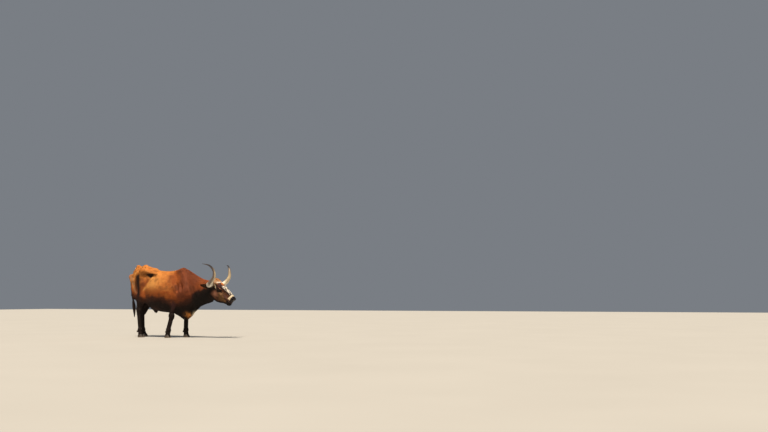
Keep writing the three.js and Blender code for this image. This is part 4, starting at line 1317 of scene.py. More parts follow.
# short cattle hair on hide: fine streaks that follow the lie, darker in the partings
def makeSkinMaterial():
    material, tree, surface = newMaterial("shortHairOnHide", Specular_IOR_Level=0.22)
    colour = addNode(tree, "ShaderNodeAttribute", attribute_name="coatColour")
    bare = addNode(tree, "ShaderNodeAttribute", attribute_name="bare")
    grain = addNode(tree, "ShaderNodeAttribute", attribute_name="grain")
    # locks about 4 mm wide, hairs about 1 mm, coarser than real ones so that they show, and the bare
    # muzzle's pebbles about 2.4 mm
    clumps = addNode(tree, "ShaderNodeTexNoise",
                     {"Vector": grain.outputs["Vector"], "Scale": 260.0, "Detail": 4.0,
                      "Roughness": 0.62})
    hairs = addNode(tree, "ShaderNodeTexNoise",
                    {"Vector": grain.outputs["Vector"], "Scale": 1150.0, "Detail": 3.0})
    place = addNode(tree, "ShaderNodeTexCoord")
    pores = addNode(tree, "ShaderNodeTexVoronoi", {"Vector": place.outputs["Object"], "Scale": 420.0})
    tone = addNode(tree, "ShaderNodeMapRange",
                   {0: clumps.outputs["Fac"], 1: 0.32, 2: 0.68, 3: 0.66, 4: 1.2})
    fineTone = addNode(tree, "ShaderNodeMapRange",
                       {0: hairs.outputs["Fac"], 1: 0.32, 2: 0.68, 3: 0.78, 4: 1.2})
    both = addNode(tree, "ShaderNodeMath", {0: tone, 1: fineTone}, operation="MULTIPLY")
    shaded = addNode(tree, "ShaderNodeVectorMath",
                     {0: colour.outputs["Color"], 1: both}, operation="MULTIPLY")
    furHeight = addNode(tree, "ShaderNodeMath",
                        {0: hairs.outputs["Fac"], 1: clumps.outputs["Fac"]}, operation="ADD")
    pebbles = addNode(tree, "ShaderNodeMath", {0: pores.outputs["Distance"], 1: 0.35},
                      operation="MULTIPLY")
    height = addNode(tree, "ShaderNodeMix",
                     {0: bare.outputs["Fac"], 2: furHeight, 3: pebbles},
                     data_type="FLOAT")
    relief = addNode(tree, "ShaderNodeBump", {"Height": height, "Strength": 0.6, "Distance": 0.0016})
    rough = addNode(tree, "ShaderNodeMapRange",
                    {0: bare.outputs["Fac"], 1: 0.0, 2: 1.0, 3: 0.7, 4: 0.34})
    setInputs(tree, surface, {"Base Color": shaded, "Normal": relief, "Roughness": rough})
    return material


# the same hair in tufts: each a shade of its root's colour, paler towards its tip
def makeTuftMaterial():
    material, tree, surface = newMaterial("hairTufts", Roughness=0.62, Specular_IOR_Level=0.22)
    colour = addNode(tree, "ShaderNodeAttribute", attribute_name="coatColour")
    tone = addNode(tree, "ShaderNodeAttribute", attribute_name="tuftTone")
    along = addNode(tree, "ShaderNodeAttribute", attribute_name="tuftAlong")
    both = addNode(tree, "ShaderNodeMath",
                   {0: along.outputs["Fac"], 1: 0.3, 2: tone.outputs["Fac"]},
                   operation="MULTIPLY_ADD")
    shaded = addNode(tree, "ShaderNodeVectorMath",
                     {0: colour.outputs["Color"], 1: both}, operation="MULTIPLY")
    place = addNode(tree, "ShaderNodeTexCoord")
    # a tuft is 2 mm wide and holds hairs of about 1 mm
    fine = addNode(tree, "ShaderNodeTexNoise",
                   {"Vector": place.outputs["Object"], "Scale": 900.0, "Detail": 2.0})
    relief = addNode(tree, "ShaderNodeBump",
                     {"Height": fine.outputs["Fac"], "Strength": 0.3, "Distance": 0.0004})
    setInputs(tree, surface, {"Base Color": shaded, "Normal": relief})
    return material


skinMaterial = makeSkinMaterial()
tuftMaterial = makeTuftMaterial()
skin.data.materials.append(skinMaterial)


# coat: tufts scattered over the skin by one node tree, in pieces
coat = {
    "pieces": ["coatHipRight", "coatHipLeft", "coatBarrelRight", "coatBarrelLeft", "coatForeRight",
               "coatForeLeft", "coatHeadRight", "coatHeadLeft", "coatForelegs", "coatHindlegs"],
    "lift": 0.07,  # a tuft's height as a share of its length
    "patch": 0.003,  # the width of a tuft's patch on the map
    "seed": 5,
}


def tuftShape():
    # a thin closed spike, one unit long and wide, with a ridge along it and its root sunk in the skin
    verts = [(0.0, -0.5, -0.7), (0.0, 0.5, -0.7), (0.12, 0.0, 0.7), (1.0, 0.0, 1.0)]
    faces = [(0, 1, 2), (1, 3, 2), (3, 0, 2), (1, 0, 3)]
    mesh = bpy.data.meshes.new("tuftShape")
    mesh.from_pydata(verts, [], faces)
    mesh.shade_smooth()
    setAttribute(mesh, "tuftAlong", "FLOAT", [v[0] for v in verts])
    patch = mesh.uv_layers.new(name="patch")
    for loop, corner in zip(mesh.loops, patch.data):
        x, y, _ = verts[loop.vertex_index]
        corner.uv = (x, y + 0.5)
    return addObject("tuftShape", mesh)


def makeCoatTree():
    tree = bpy.data.node_groups.new("coatTufts", "GeometryNodeTree")
    sockets = {}
    wanted = [("Skin", "NodeSocketGeometry"), ("Tuft", "NodeSocketObject"),
              ("Piece", "NodeSocketInt"), ("Lift", "NodeSocketFloat"), ("Seed", "NodeSocketInt"),
              ("Finish", "NodeSocketMaterial")]
    for name, kind in wanted:
        made = tree.interface.new_socket(name, in_out="INPUT", socket_type=kind)
        sockets[name] = made.identifier
    tree.interface.new_socket("Coat", in_out="OUTPUT", socket_type="NodeSocketGeometry")
    given = addNode(tree, "NodeGroupInput").outputs

    def named(name, kind):
        node = addNode(tree, "GeometryNodeInputNamedAttribute", {"Name": name}, data_type=kind)
        return node.outputs["Attribute"]

    def randomly(low, high, seed):
        node = addNode(tree, "FunctionNodeRandomValue", {2: low, 3: high}, data_type="FLOAT")
        shifted = addNode(tree, "ShaderNodeMath", {0: given["Seed"], 1: float(seed)}, operation="ADD")
        tree.links.new(shifted.outputs[0], node.inputs["Seed"])
        return node.outputs[1]

    here = addNode(tree, "FunctionNodeCompare", {2: named("coatPiece", "INT"), 3: given["Piece"]},
                   data_type="INT", operation="EQUAL")
    roots = addNode(tree, "GeometryNodeDistributePointsOnFaces",
                    {"Mesh": given["Skin"], "Selection": here,
                     "Density": named("tuftDensity", "FLOAT"), "Seed": given["Seed"]},
                    distribute_method="RANDOM")
    toned = addNode(tree, "GeometryNodeStoreNamedAttribute",
                    {"Geometry": roots.outputs["Points"], "Name": "tuftTone",
                     "Value": randomly(0.62, 1.16, 1)}, data_type="FLOAT", domain="POINT")
    laid = addNode(tree, "FunctionNodeAxesToRotation",
                   {0: roots.outputs["Normal"], 1: named("lie", "FLOAT_VECTOR")},
                   primary_axis="Z", secondary_axis="X")
    tilt = addNode(tree, "ShaderNodeCombineXYZ",
                   {0: randomly(-0.3, 0.3, 2), 1: randomly(-0.06, 0.05, 3), 2: randomly(-0.2, 0.2, 4)})
    turned = addNode(tree, "FunctionNodeEulerToRotation", {0: tilt})
    rotated = addNode(tree, "FunctionNodeRotateRotation", {0: laid, 1: turned}, rotation_space="LOCAL")
    length = addNode(tree, "ShaderNodeMath",
                     {0: named("tuftLength", "FLOAT"), 1: randomly(0.7, 1.25, 5)},
                     operation="MULTIPLY")
    width = addNode(tree, "ShaderNodeMath",
                    {0: named("tuftWidth", "FLOAT"), 1: randomly(0.7, 1.2, 6)},
                    operation="MULTIPLY")
    height = addNode(tree, "ShaderNodeMath", {0: length, 1: given["Lift"]}, operation="MULTIPLY")
    size = addNode(tree, "ShaderNodeCombineXYZ", {0: length, 1: width, 2: height})
    shape = addNode(tree, "GeometryNodeObjectInfo", {"Object": given["Tuft"]},
                    transform_space="ORIGINAL")
    placed = addNode(tree, "GeometryNodeInstanceOnPoints",
                     {"Points": toned, "Instance": shape.outputs["Geometry"],
                      "Rotation": rotated, "Scale": size})
    real = addNode(tree, "GeometryNodeRealizeInstances", {"Geometry": placed})
    patch = addNode(tree, "ShaderNodeVectorMath",
                    {0: named("patch", "FLOAT_VECTOR"), "Scale": coat["patch"]}, operation="SCALE")
    root = addNode(tree, "ShaderNodeVectorMath",
                   {0: patch, 1: named("skinUnwrap", "FLOAT_VECTOR")}, operation="ADD")
    mapped = addNode(tree, "GeometryNodeStoreNamedAttribute",
                     {"Geometry": real, "Name": "OFBake", "Value": root},
                     data_type="FLOAT2", domain="CORNER")
    finished = addNode(tree, "GeometryNodeSetMaterial",
                       {"Geometry": mapped, "Material": given["Finish"]})
    addNode(tree, "NodeGroupOutput", {0: finished})
    return tree, sockets


def growCoat(skin):
    tree, sockets = makeCoatTree()
    shape = tuftShape()
    grown = []
    for number, name in enumerate(coat["pieces"]):
        modifier = skin.modifiers.new(name, "NODES")
        modifier.node_group = tree
        modifier[sockets["Tuft"]] = shape
        modifier[sockets["Piece"]] = number
        modifier[sockets["Lift"]] = coat["lift"]
        modifier[sockets["Seed"]] = coat["seed"] + 20 * number
        modifier[sockets["Finish"]] = tuftMaterial
        graph = bpy.context.evaluated_depsgraph_get()
        result = skin.evaluated_get(graph)
        mesh = bpy.data.meshes.new_from_object(result, preserve_all_data_layers=True,
                                               depsgraph=graph)
        skin.modifiers.remove(modifier)
        keep = ("coatColour", "tuftTone", "tuftAlong", "OFBake", "position", "sharp_face")
        spare = [a.name for a in mesh.attributes if a.name not in keep and not a.name.startswith(".")]
        for extra in spare:
            if not mesh.attributes[extra].is_required:
                mesh.attributes.remove(mesh.attributes[extra])
        mesh.materials.clear()
        mesh.materials.append(tuftMaterial)
        mesh.name = name
        grown.append(addObject(name, mesh))
        mesh.calc_loop_triangles()
        print(name, len(mesh.loop_triangles), "triangles", [u.name for u in mesh.uv_layers])
    bpy.data.objects.remove(shape)
    return grown


coatPieces = growCoat(skin)


# curves and tubes for horns and locks
def curvePoints(path, count):
    # a centripetal curve through the points, read at even steps of its parameter
    path = np.asarray(path, float)
    ends = np.vstack([2 * path[0] - path[1], path, 2 * path[-1] - path[-2]])
    result = []
    for t in np.linspace(0, len(path) - 1, count):
        i = min(int(t), len(path) - 2)
        w = t - i
        p0, p1, p2, p3 = ends[i:i + 4]
        d0, d1, d2 = [max(np.linalg.norm(b - a) ** 0.5, 1e-4)
                      for a, b in ((p0, p1), (p1, p2), (p2, p3))]
        m1 = ((p1 - p0) / d0 - (p2 - p0) / (d0 + d1) + (p2 - p1) / d1) * d1
        m2 = ((p2 - p1) / d1 - (p3 - p1) / (d1 + d2) + (p3 - p2) / d2) * d1
        c2 = -3 * p1 + 3 * p2 - 2 * m1 - m2
        c3 = 2 * p1 - 2 * p2 + m1 + m2
        result.append(p1 + m1 * w + c2 * w * w + c3 * w ** 3)
    return np.array(result)


def tubeRings(centres, wide, thick, sides, firstAcross):
    ahead = unit(np.gradient(centres, axis=0))
    across = np.array(firstAcross, float)
    rings = []
    angles = np.linspace(0, 2 * math.pi, sides, endpoint=False)
    for place, forward, w, h in zip(centres, ahead, wide, thick):
        across = unit(across - forward * (across @ forward))
        upward = np.cross(forward, across)
        rings.append(place + np.outer(np.cos(angles) * w, across) + np.outer(np.sin(angles) * h, upward))
    return np.array(rings)


def tubeFaces(rings, sides, start=0):
    faces = ringFaces(rings, sides, start)
    faces.append(tuple(range(start + sides - 1, start - 1, -1)))
    faces.append(tuple(range(start + (rings - 1) * sides, start + rings * sides)))
    return faces


# horns: keratin, ringed near the head, cream below and slate at the tip
horn = {
    "path": [(866, 70, 1088), (850, 150, 1056), (842, 226, 1034), (904, 262, 1080),
             (984, 270, 1186), (980, 286, 1308), (922, 342, 1400), (818, 434, 1436)],
    "radii": [47, 50, 51, 44, 33, 25, 16, 4],
    "ringHeight": 0.8,
    "flutes": 9,
    "fluteDepth": 0.5,
    "rings": 190,
    "sides": 48,
}


def makeHorn(name, side):
    centres = curvePoints([(x, y * side, z) for x, y, z in horn["path"]], horn["rings"])
    t = np.linspace(0, 1, horn["rings"])
    radius = curveThrough(np.linspace(0, 1, len(horn["radii"])), horn["radii"])(t)
    length = np.concatenate([[0], np.cumsum(np.linalg.norm(np.diff(centres, axis=0), axis=1))])
    # a growth ring for each 13 mm, uneven and worn away beyond the middle
    growth = np.sin(turns(length, 13) + 2 * np.sin(length / 61)) * falling(t, 0.3, 0.62)
    radius = radius - 0.6 + horn["ringHeight"] * growth + 0.5 * np.sin(length / 47)
    rings = tubeRings(centres, radius, radius * 0.965, horn["sides"], (0, 0, 1))
    angle = np.linspace(0, 2 * math.pi, horn["sides"], endpoint=False)
    flutes = horn["fluteDepth"] * np.outer(falling(t, 0.5, 0.8), np.sin(angle * horn["flutes"]))
    outward = unit(rings - centres[:, None, :])
    rings = rings + outward * flutes[:, :, None]
    thing = meshObject(name, rings.reshape(-1, 3), tubeFaces(horn["rings"], horn["sides"]))
    mesh = thing.data
    setAttribute(mesh, "hornAlong", "FLOAT", np.repeat(t, horn["sides"]))
    setAttribute(mesh, "hornFace", "FLOAT_VECTOR", outward.reshape(-1, 3) * (1, side, 1))
    turnOutwards(mesh)
    return thing


# horn keratin: waxy, streaked along its length
def makeHornMaterial():
    material, tree, surface = newMaterial("hornKeratin", Subsurface_Weight=0.06)
    setInputs(tree, surface, {"Subsurface Radius": (0.01, 0.006, 0.003)})
    along = addNode(tree, "ShaderNodeAttribute", attribute_name="hornAlong")
    place = addNode(tree, "ShaderNodeTexCoord")
    # clouds of about 110 mm, and streaks of about 7 mm by 30 mm
    cloud = addNode(tree, "ShaderNodeTexNoise",
                    {"Vector": place.outputs["Object"], "Scale": 9.0, "Detail": 4.0})
    stretched = addNode(tree, "ShaderNodeMapping", {0: place.outputs["Object"], 3: (60.0, 60.0, 14.0)})
    grain = addNode(tree, "ShaderNodeTexNoise",
                    {"Vector": stretched, "Scale": 2.4, "Detail": 6.0, "Roughness": 0.6})
    shifted = addNode(tree, "ShaderNodeMath",
                      {0: cloud.outputs["Fac"], 1: 0.22, 2: along.outputs["Fac"]},
                      operation="MULTIPLY_ADD")
    ramp = addNode(tree, "ShaderNodeValToRGB", {0: shifted})
    stops = [(0.2, "4a382c"), (0.25, "7d6650"), (0.31, "eae0cd"), (0.4, "f7f1e4"), (0.5, "efe3cb"),
             (0.7, "cdb792"), (0.85, "7d6d5c"), (0.93, "3b3a3d"), (1.0, "26282c")]
    steps = ramp.color_ramp.elements
    while len(steps) < len(stops):
        steps.new(0.5)
    for element, (position, text) in zip(steps, stops):
        element.position = position
        element.color = (*hexColour(text), 1)
    streak = addNode(tree, "ShaderNodeMapRange",
                     {0: grain.outputs["Fac"], 1: 0.32, 2: 0.68, 3: 0.74, 4: 1.12})
    # the side turned back and out is darkened grey-brown, partly stain and partly painted shade
    facing = addNode(tree, "ShaderNodeAttribute", attribute_name="hornFace")
    turned = addNode(tree, "ShaderNodeVectorMath",
                     {0: facing.outputs["Vector"], 1: (-0.75, 0.66, 0.0)}, operation="DOT_PRODUCT")
    behind = addNode(tree, "ShaderNodeMath",
                     {0: cloud.outputs["Fac"], 1: 0.5, 2: turned.outputs["Value"]},
                     operation="MULTIPLY_ADD")
    shadeAndStain = addNode(tree, "ShaderNodeMapRange", {0: behind, 1: -0.12, 2: 0.5, 3: 0.0, 4: 0.92})
    higher = addNode(tree, "ShaderNodeMapRange",
                     {0: along.outputs["Fac"], 1: 0.26, 2: 0.4, 3: 0.0, 4: 1.0})
    shadedAndStained = addNode(tree, "ShaderNodeMath", {0: shadeAndStain, 1: higher}, operation="MULTIPLY")
    toned = addNode(tree, "ShaderNodeMix", {0: shadedAndStained, 6: ramp, 7: "4a3b36"}, data_type="RGBA")
    shaded = addNode(tree, "ShaderNodeVectorMath",
                     {0: toned.outputs[2], 1: streak}, operation="MULTIPLY")
    rough = addNode(tree, "ShaderNodeMapRange",
                    {0: grain.outputs["Fac"], 1: 0.3, 2: 0.7, 3: 0.34, 4: 0.52})
    relief = addNode(tree, "ShaderNodeBump",
                     {"Height": grain.outputs["Fac"], "Strength": 0.35, "Distance": 0.001})
    setInputs(tree, surface, {"Base Color": shaded, "Normal": relief, "Roughness": rough})
    return material


hornMaterial = makeHornMaterial()
hornPieces = []
for name, side in (("hornRight", -1), ("hornLeft", 1)):
    hornPieces.append(makeHorn(name, side))
    hornPieces[-1].data.materials.append(hornMaterial)
print("horns made")

# claws and dewclaws
claw = {"length": 122, "width": 55, "apart": 30, "lean": 16.12, "turn": 0.05, "rings": 16, "sides": 44}
dewclaw = {
    "fromFetlock": (-44, 24, -34),
    "base": (12, 0, 16),
    "tip": (-8, 0, -21),
    "radii": [15, 16.5, 17.4, 17.4, 16.6, 14.8, 11.8, 7.6, 2.0],
    "sides": 18,
}


def clawRings(foot, side, outer):
    rings = []
    angle = np.linspace(0, 2 * math.pi, claw["sides"], endpoint=False)
    fore = np.cos(angle)
    around = np.sin(angle)
    for up in np.linspace(0, 1, claw["rings"]):
        length = claw["length"] * (1 - 0.3 * up)
        width = claw["width"] * (1 - 0.14 * up)
        if up < 0.04:
            length -= 3
            width -= 3
        pointed = np.where(fore > 0, 1 - 0.3 * fore * fore, 1)
        bulge = np.where(around * outer > 0, 1, 0.86)
        grow = 0.7 * math.sin(up * 26) if 0.05 < up < 0.95 else 0
        along = fore * (length / 2 + grow) - claw["lean"] * up
        level = np.maximum(up * (hoof["coronet"] + hoof["slope"] * along), 0)
        out = outer * claw["apart"] + around * pointed * bulge * (width / 2 + grow)
        out = out + outer * claw["turn"] * along
        rings.append(np.stack([foot[0] + hoof["centre"] + along, side * (foot[1] + out), level], -1))
    return np.array(rings)


def makeFoot(name, leg):
    points = []
    faces = []
    for outer in (-1, 1):
        rings = clawRings(leg["foot"], leg["side"], outer)
        faces += tubeFaces(claw["rings"], claw["sides"], len(points))
        points += rings.reshape(-1, 3).tolist()
        # the dewclaw, a blunt cone behind the fetlock
        back, out, down = dewclaw["fromFetlock"]
        fx, fy, fz = leg["fetlock"]
        centre = np.array([fx + back, leg["side"] * fy + outer * leg["side"] * out, fz + down], float)
        radius = np.array(dewclaw["radii"])
        centres = np.linspace(centre + dewclaw["base"], centre + dewclaw["tip"], len(radius))
        rings = tubeRings(centres, radius * 0.9, radius, dewclaw["sides"], (0, 1, 0))
        faces += tubeFaces(len(radius), dewclaw["sides"], len(points))
        points += rings.reshape(-1, 3).tolist()
    thing = meshObject(name, points, faces)
    mesh = thing.data
    turnOutwards(mesh)
    # the claws' two flat ends keep a sharp edge
    for face in mesh.polygons:
        if face.loop_total == claw["sides"]:
            for loop in face.loop_indices:
                mesh.edges[mesh.loops[loop].edge_index].use_edge_sharp = True
    return thing


# hoof horn: dark, ridged round, dusty towards its sole
def makeHoofMaterial():
    material, tree, surface = newMaterial("hoofHorn")
    place = addNode(tree, "ShaderNodeTexCoord")
    parts = addNode(tree, "ShaderNodeSeparateXYZ", {0: place.outputs["Object"]})
    # growth ridges of about 3 mm, which run level for about 33 mm
    stretched = addNode(tree, "ShaderNodeMapping", {0: place.outputs["Object"], 3: (30.0, 30.0, 320.0)})
    rings = addNode(tree, "ShaderNodeTexNoise", {"Vector": stretched, "Scale": 1.0, "Detail": 3.0})
    dust = addNode(tree, "ShaderNodeMapRange", {0: parts.outputs[2], 1: 0.0, 2: 0.03, 3: 0.7, 4: 0.05})
    tone = addNode(tree, "ShaderNodeMix",
                   {0: rings.outputs["Fac"], 6: "1f1a17", 7: "463b32"},
                   data_type="RGBA")
    dusty = addNode(tree, "ShaderNodeMix", {0: dust, 6: tone.outputs[2], 7: "6f6152"}, data_type="RGBA")
    rough = addNode(tree, "ShaderNodeMapRange",
                    {0: rings.outputs["Fac"], 1: 0.3, 2: 0.7, 3: 0.42, 4: 0.62})
    relief = addNode(tree, "ShaderNodeBump",
                     {"Height": rings.outputs["Fac"], "Strength": 0.5, "Distance": 0.0012})
    setInputs(tree, surface, {"Base Color": dusty.outputs[2], "Normal": relief,
                              "Roughness": rough})
    return material


hoofMaterial = makeHoofMaterial()
footPieces = {}
for name, leg in legs.items():
    footPieces[name] = makeFoot("claws" + name[0].upper() + name[1:], leg)
    footPieces[name].data.materials.append(hoofMaterial)
print("claws made")


# eyes: dark ball with a wide pupil under a clear swell
eyeball = {
    "look": (0.16, 0.98, 0.08),  # outwards, in the head's own frame
    "swell": 0.045,  # of the radius, over the pupil
    "swellSpan": 0.62,  # radians
    "rows": 30,
    "sides": 48,
}


def makeEye(name, side):
    centre = headPoint(*head["eye"]) * (1, side, 1)
    forward, _ = eyeAxes()

    def toWorld(v):
        return np.array([v[0] * headCos + v[2] * headSin, v[1] * side, -v[0] * headSin + v[2] * headCos])

    look = unit(toWorld(eyeball["look"]))
    level = unit(toWorld(forward) - look * (toWorld(forward) @ look))
    tall = np.cross(look, level)
    points = []
    iris = []
    for i in range(eyeball["rows"] + 1):
        a = math.pi * i / eyeball["rows"]
        swell = 1 + eyeball["swell"] * math.exp(-((a / eyeball["swellSpan"]) ** 2))
        for j in range(eyeball["sides"]):
            b = 2 * math.pi * j / eyeball["sides"]
            d = look * math.cos(a) + (level * math.cos(b) + tall * math.sin(b)) * math.sin(a)
            points.append(centre + d * head["eyeRadius"] * swell)
            iris.append((math.sin(a) * math.cos(b), math.sin(a) * math.sin(b), math.cos(a)))
    thing = meshObject(name, points, ringFaces(eyeball["rows"] + 1, eyeball["sides"]))
    setAttribute(thing.data, "onEye", "FLOAT_VECTOR", iris)
    turnOutwards(thing.data, merged=1e-6)
    return thing


# the eye's surface: wet and clear over a brown iris and a wide dark pupil
def makeEyeMaterial():
    material, tree, surface = newMaterial("wetEye", Roughness=0.09, IOR=1.376)
    setInputs(tree, surface, {"Specular IOR Level": 0.22, "Coat Weight": 0.14, "Coat Roughness": 0.03})
    where = addNode(tree, "ShaderNodeAttribute", attribute_name="onEye")
    squashed = addNode(tree, "ShaderNodeVectorMath",
                       {0: where.outputs["Vector"], 1: (0.62, 1.25, 0.0)}, operation="MULTIPLY")
    pupilFar = addNode(tree, "ShaderNodeVectorMath", {0: squashed}, operation="LENGTH")
    flat = addNode(tree, "ShaderNodeVectorMath",
                   {0: where.outputs["Vector"], 1: (1.0, 1.0, 0.0)}, operation="MULTIPLY")
    irisFar = addNode(tree, "ShaderNodeVectorMath", {0: flat}, operation="LENGTH")
    pupil = addNode(tree, "ShaderNodeMapRange",
                    {0: pupilFar.outputs["Value"], 1: 0.24, 2: 0.3, 3: 0.0, 4: 1.0})
    white = addNode(tree, "ShaderNodeMapRange",
                    {0: irisFar.outputs["Value"], 1: 0.74, 2: 0.86, 3: 0.0, 4: 1.0})
    # the iris' fibres are about 1 mm, on a ball of 22 mm radius
    fibres = addNode(tree, "ShaderNodeTexNoise",
                     {"Vector": where.outputs["Vector"], "Scale": 22.0, "Detail": 4.0})
    iris = addNode(tree, "ShaderNodeMix",
                   {0: fibres.outputs["Fac"], 6: "1e100a",
                    7: "4a2a17"}, data_type="RGBA")
    dark = addNode(tree, "ShaderNodeMix", {0: pupil, 6: "05060a", 7: iris.outputs[2]}, data_type="RGBA")
    whole = addNode(tree, "ShaderNodeMix", {0: white, 6: dark.outputs[2], 7: "8a7568"}, data_type="RGBA")
    setInputs(tree, surface, {"Base Color": whole.outputs[2]})
    return material


eyeMaterial = makeEyeMaterial()
eyePieces = [makeEye("eyeRight", -1), makeEye("eyeLeft", 1)]
for piece in eyePieces:
    piece.data.materials.append(eyeMaterial)


# tail switch, eyelashes: long hair in flat pointed locks
def lockMesh(name, locks, sides=4, count=7):
    # each lock is its path, width, thickness and the way its flat side faces
    points = []
    faces = []
    tones = []
    alongs = []
    bakes = []
    random = np.random.default_rng(3)
    for number, (path, wide, thick, across) in enumerate(locks):
        centres = curvePoints(path, count)
        t = np.linspace(0, 1, count)
        taper = np.clip(1.06 - t ** 1.7, 0.05, 1) * smoothStep(t, -0.3, 0.2)
        rings = tubeRings(centres, wide * taper, thick * taper, sides, across)
        faces += tubeFaces(count, sides, len(points))
        points += rings.reshape(-1, 3).tolist()
        tones += [random.uniform(0.6, 1.15)] * (sides * count)
        alongs += np.repeat(t, sides).tolist()
        u = (number % 40) / 40 * 0.96 + 0.01
        v = (number // 40) / 40 * 0.96 + 0.01
        wide = coat["patch"]
        bakes += [(u + wide * (k % sides) / sides, v + wide * (k // sides) / count)
                  for k in range(sides * count)]
    thing = meshObject(name, points, faces)
    mesh = thing.data
    setAttribute(mesh, "tuftTone", "FLOAT", tones)
    setAttribute(mesh, "tuftAlong", "FLOAT", alongs)
    layer = mesh.uv_layers.new(name="OFBake")
    layer.data.foreach_set("uv", np.array(bakes)[cornerPoints(mesh)].ravel())
    return thing


switch = {
    "path": [(-1127, 25.6, 762), (-1120, 32, 700), (-1112, 36, 620), (-1104, 40, 540), (-1096, 42, 470)],
    "spread": [15, 32, 34, 25, 9],
    "locks": 420,
    "length": (150, 240),
    "width": 4.2,
    "thick": 1.5,
    "colour": "20130d",
    "seed": 9,
}


def makeSwitch():
    random = np.random.default_rng(switch["seed"])
    spine = curvePoints(switch["path"], 60)
    spread = curveThrough(np.linspace(0, 1, 5), switch["spread"])
    locks = []
    for i in range(switch["locks"]):
        start = 0.72 * random.uniform(0, 1) ** 1.2
        length = random.uniform(*switch["length"])
        turn = random.uniform(0, 2 * math.pi)
        far = math.sqrt(random.uniform(0.05, 1))
        outward = np.array([math.cos(turn), math.sin(turn), 0])
        path = []
        for t in np.linspace(0, 1, 6):
            down = start + t * length / 300
            place = spine[int(min(down, 1) * 59)].copy()
            if down > 1:
                place[2] -= (down - 1) * 300
            reach = spread(min(start + 0.1, 1)) * far * min(1, 0.35 + 2.2 * t)
            reach *= 1 if down < 0.6 else max(0.25, 1 - 1.1 * (down - 0.6))
            waver = 3.5 * math.sin(t * 7 + i) * t
            path.append(place + outward * (reach + waver))
        path = np.array(path)
        path[:, 2] = np.maximum(path[:, 2], 372 + 40 * far)
        locks.append((path, switch["width"] * random.uniform(0.6, 1.2), switch["thick"],
                      (-math.sin(turn), math.cos(turn), 0)))
    return lockMesh("tailSwitch", locks)


lashes = {"count": 26, "length": 19, "width": 0.9, "thick": 0.5, "colour": "0d0908"}


def makeLashes(side):
    forward, upward = eyeAxes()
    centre = np.array(head["eye"], float)
    random = np.random.default_rng(21 + side)
    locks = []
    for row, count, lift in ((1, lashes["count"], 13.5), (-1, lashes["count"] // 2, 11.0)):
        for t in np.linspace(-0.8, 0.85, count):
            p = 24 * math.sin(t * 1.4)
            q = row * lift * math.cos(t * 1.4)
            out = math.sqrt(max(25 ** 2 - p * p - q * q, 20)) + 2
            root = centre + forward * p + upward * q + np.array([0, out, 0])
            away = unit(np.array([0, 1.0, 0]) + forward * (p / 60) + upward * row * 0.35)
            length = lashes["length"] * (1 if row > 0 else 0.55) * random.uniform(0.8, 1.1)
            curl = upward * row * 0.5
            path = [root + away * length * s + curl * length * s * s for s in (0, 0.35, 0.7, 1)]
            path = [headPoint(*v) * (1, side, 1) for v in path]
            locks.append((path, lashes["width"], lashes["thick"], (1, 0, 0)))
    return locks


# long dark hair: each lock lighter or darker than the next, and darker at its root
def plainHair(name, text):
    material, tree, surface = newMaterial(name, Roughness=0.5, Specular_IOR_Level=0.3)
    tone = addNode(tree, "ShaderNodeAttribute", attribute_name="tuftTone")
    along = addNode(tree, "ShaderNodeAttribute", attribute_name="tuftAlong")
    both = addNode(tree, "ShaderNodeMath",
                   {0: along.outputs["Fac"], 1: 0.5, 2: tone.outputs["Fac"]}, operation="MULTIPLY_ADD")
    shaded = addNode(tree, "ShaderNodeVectorMath", {0: hexColour(text), 1: both}, operation="MULTIPLY")
    place = addNode(tree, "ShaderNodeTexCoord")
    # single hairs in a lock, drawn about 1.4 mm wide
    fine = addNode(tree, "ShaderNodeTexNoise",
                   {"Vector": place.outputs["Object"], "Scale": 700.0, "Detail": 2.0})
    relief = addNode(tree, "ShaderNodeBump",
                     {"Height": fine.outputs["Fac"], "Strength": 0.4, "Distance": 0.0005})
    setInputs(tree, surface, {"Base Color": shaded, "Normal": relief})
    return material


switchPiece = makeSwitch()
switchPiece.data.materials.append(plainHair("tailHair", switch["colour"]))
lashPiece = lockMesh("eyelashes", makeLashes(-1) + makeLashes(1), sides=3, count=5)
lashPiece.data.materials.append(plainHair("lashHair", lashes["colour"]))
print("tail switch and lashes made")

# what each piece rides on and stands for
flesh = ["torso", "neck", "head", "ear_right", "ear_left", "tail",
         "leg_front_right", "leg_front_left", "leg_hind_right", "leg_hind_left"]
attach(skin, "root")
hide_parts(*flesh)
for piece in coatPieces:
    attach(piece, "root")
for kind, pair in (("horn", hornPieces), ("eye", eyePieces)):
    for piece, side in zip(pair, ("right", "left")):
        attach(piece, "root")
        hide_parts(f"{kind}_{side}")
footNodes = {"frontRight": "front_right", "frontLeft": "front_left",
             "hindRight": "hind_right", "hindLeft": "hind_left"}
for name, piece in footPieces.items():
    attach(piece, "root")
    nodes = [f"{kind}_{footNodes[name]}_{which}" for kind in ("claw", "dewclaw")
             for which in ("inner", "outer")]
    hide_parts(*nodes)
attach(switchPiece, "root")
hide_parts("tail_switch")
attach(lashPiece, "root")

# floor, light and camera
studio = {
    "floorColour": "b9b6b0",
    "floorShade": "b1aea8",
    "floorSize": 80,  # metres
    "floorCells": 8,
    "worldColour": "dfe7f2",
    "worldStrength": 0.26,
    "sunColour": "fff1dc",
    "keyStrength": 5.4,
    "keyFrom": (0.2, -0.74, 1.5),
    "keySpread": 14,  # degrees
    "fillStrength": 0.25,
    "fillFrom": (1.2, -1.0, 0.5),
    "fillSpread": 60,
    "lens": 910 / 768 * 36,
    "camera": (10.669, -15.240, 0.761),  # metres
    "yaw": math.radians(-22.34),
    "pitch": math.radians(5.21),
}


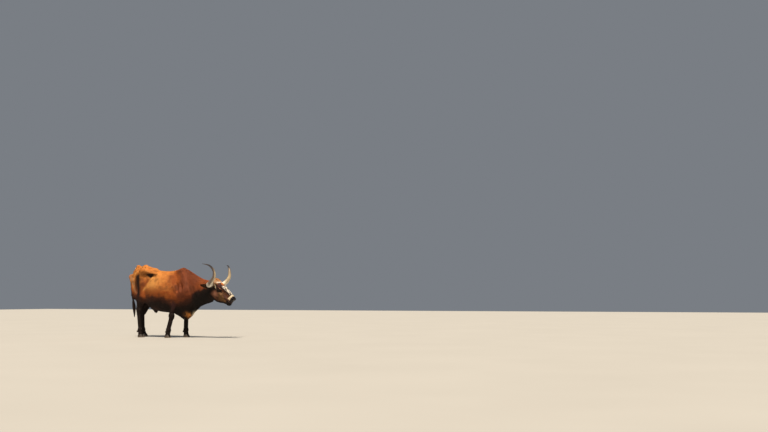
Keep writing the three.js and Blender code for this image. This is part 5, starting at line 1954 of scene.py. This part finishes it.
def makeStudio():
    work = bmesh.new()
    cells = studio["floorCells"]
    bmesh.ops.create_grid(work, x_segments=cells, y_segments=cells, size=studio["floorSize"] / 2)
    mesh = bpy.data.meshes.new("studioFloor")
    work.to_mesh(mesh)
    work.free()
    floor = addObject("studioFloor", mesh)
    # matt pale floor, a little uneven in tone, so that the dark legs stand out
    material, tree, surface = newMaterial("paleFloor", Roughness=0.9)
    place = addNode(tree, "ShaderNodeTexCoord")
    grain = addNode(tree, "ShaderNodeTexNoise", {"Vector": place.outputs["Object"], "Scale": 0.6})
    tint = addNode(tree, "ShaderNodeMix",
                   {0: grain.outputs["Fac"], 6: studio["floorColour"],
                    7: studio["floorShade"]}, data_type="RGBA")
    setInputs(tree, surface, {"Base Color": tint.outputs[2]})
    mesh.materials.append(material)

    world = bpy.data.worlds.new("studio")
    world.use_nodes = True
    setInputs(world.node_tree, world.node_tree.nodes["Background"],
              {"Color": studio["worldColour"], "Strength": studio["worldStrength"]})
    bpy.context.scene.world = world
    bpy.context.scene.view_settings.view_transform = "Standard"

    for name in ("key", "fill"):
        data = bpy.data.lights.new(name, "SUN")
        data.energy = studio[name + "Strength"]
        data.angle = math.radians(studio[name + "Spread"])
        data.color = hexColour(studio["sunColour"])
        way = Vector(studio[name + "From"])
        addObject(name, data).rotation_euler = way.to_track_quat("Z", "Y").to_euler()


def makeCamera():
    yaw, pitch = studio["yaw"], studio["pitch"]
    forward = Vector((math.sin(yaw) * math.cos(pitch), math.cos(yaw) * math.cos(pitch), math.sin(pitch)))
    right = Vector((math.cos(yaw), -math.sin(yaw), 0))
    upward = right.cross(forward)
    data = bpy.data.cameras.new("camera")
    data.sensor_width = 36
    data.lens = studio["lens"]
    data.clip_end = 300
    camera = addObject("camera", data)
    place = Vector(studio["camera"]) + Vector((shift, 0, 0))
    camera.matrix_world = Matrix((
        (right.x, upward.x, -forward.x, place.x),
        (right.y, upward.y, -forward.y, place.y),
        (right.z, upward.z, -forward.z, place.z),
        (0, 0, 0, 1),
    ))
    bpy.context.scene.camera = camera


makeStudio()
makeCamera()
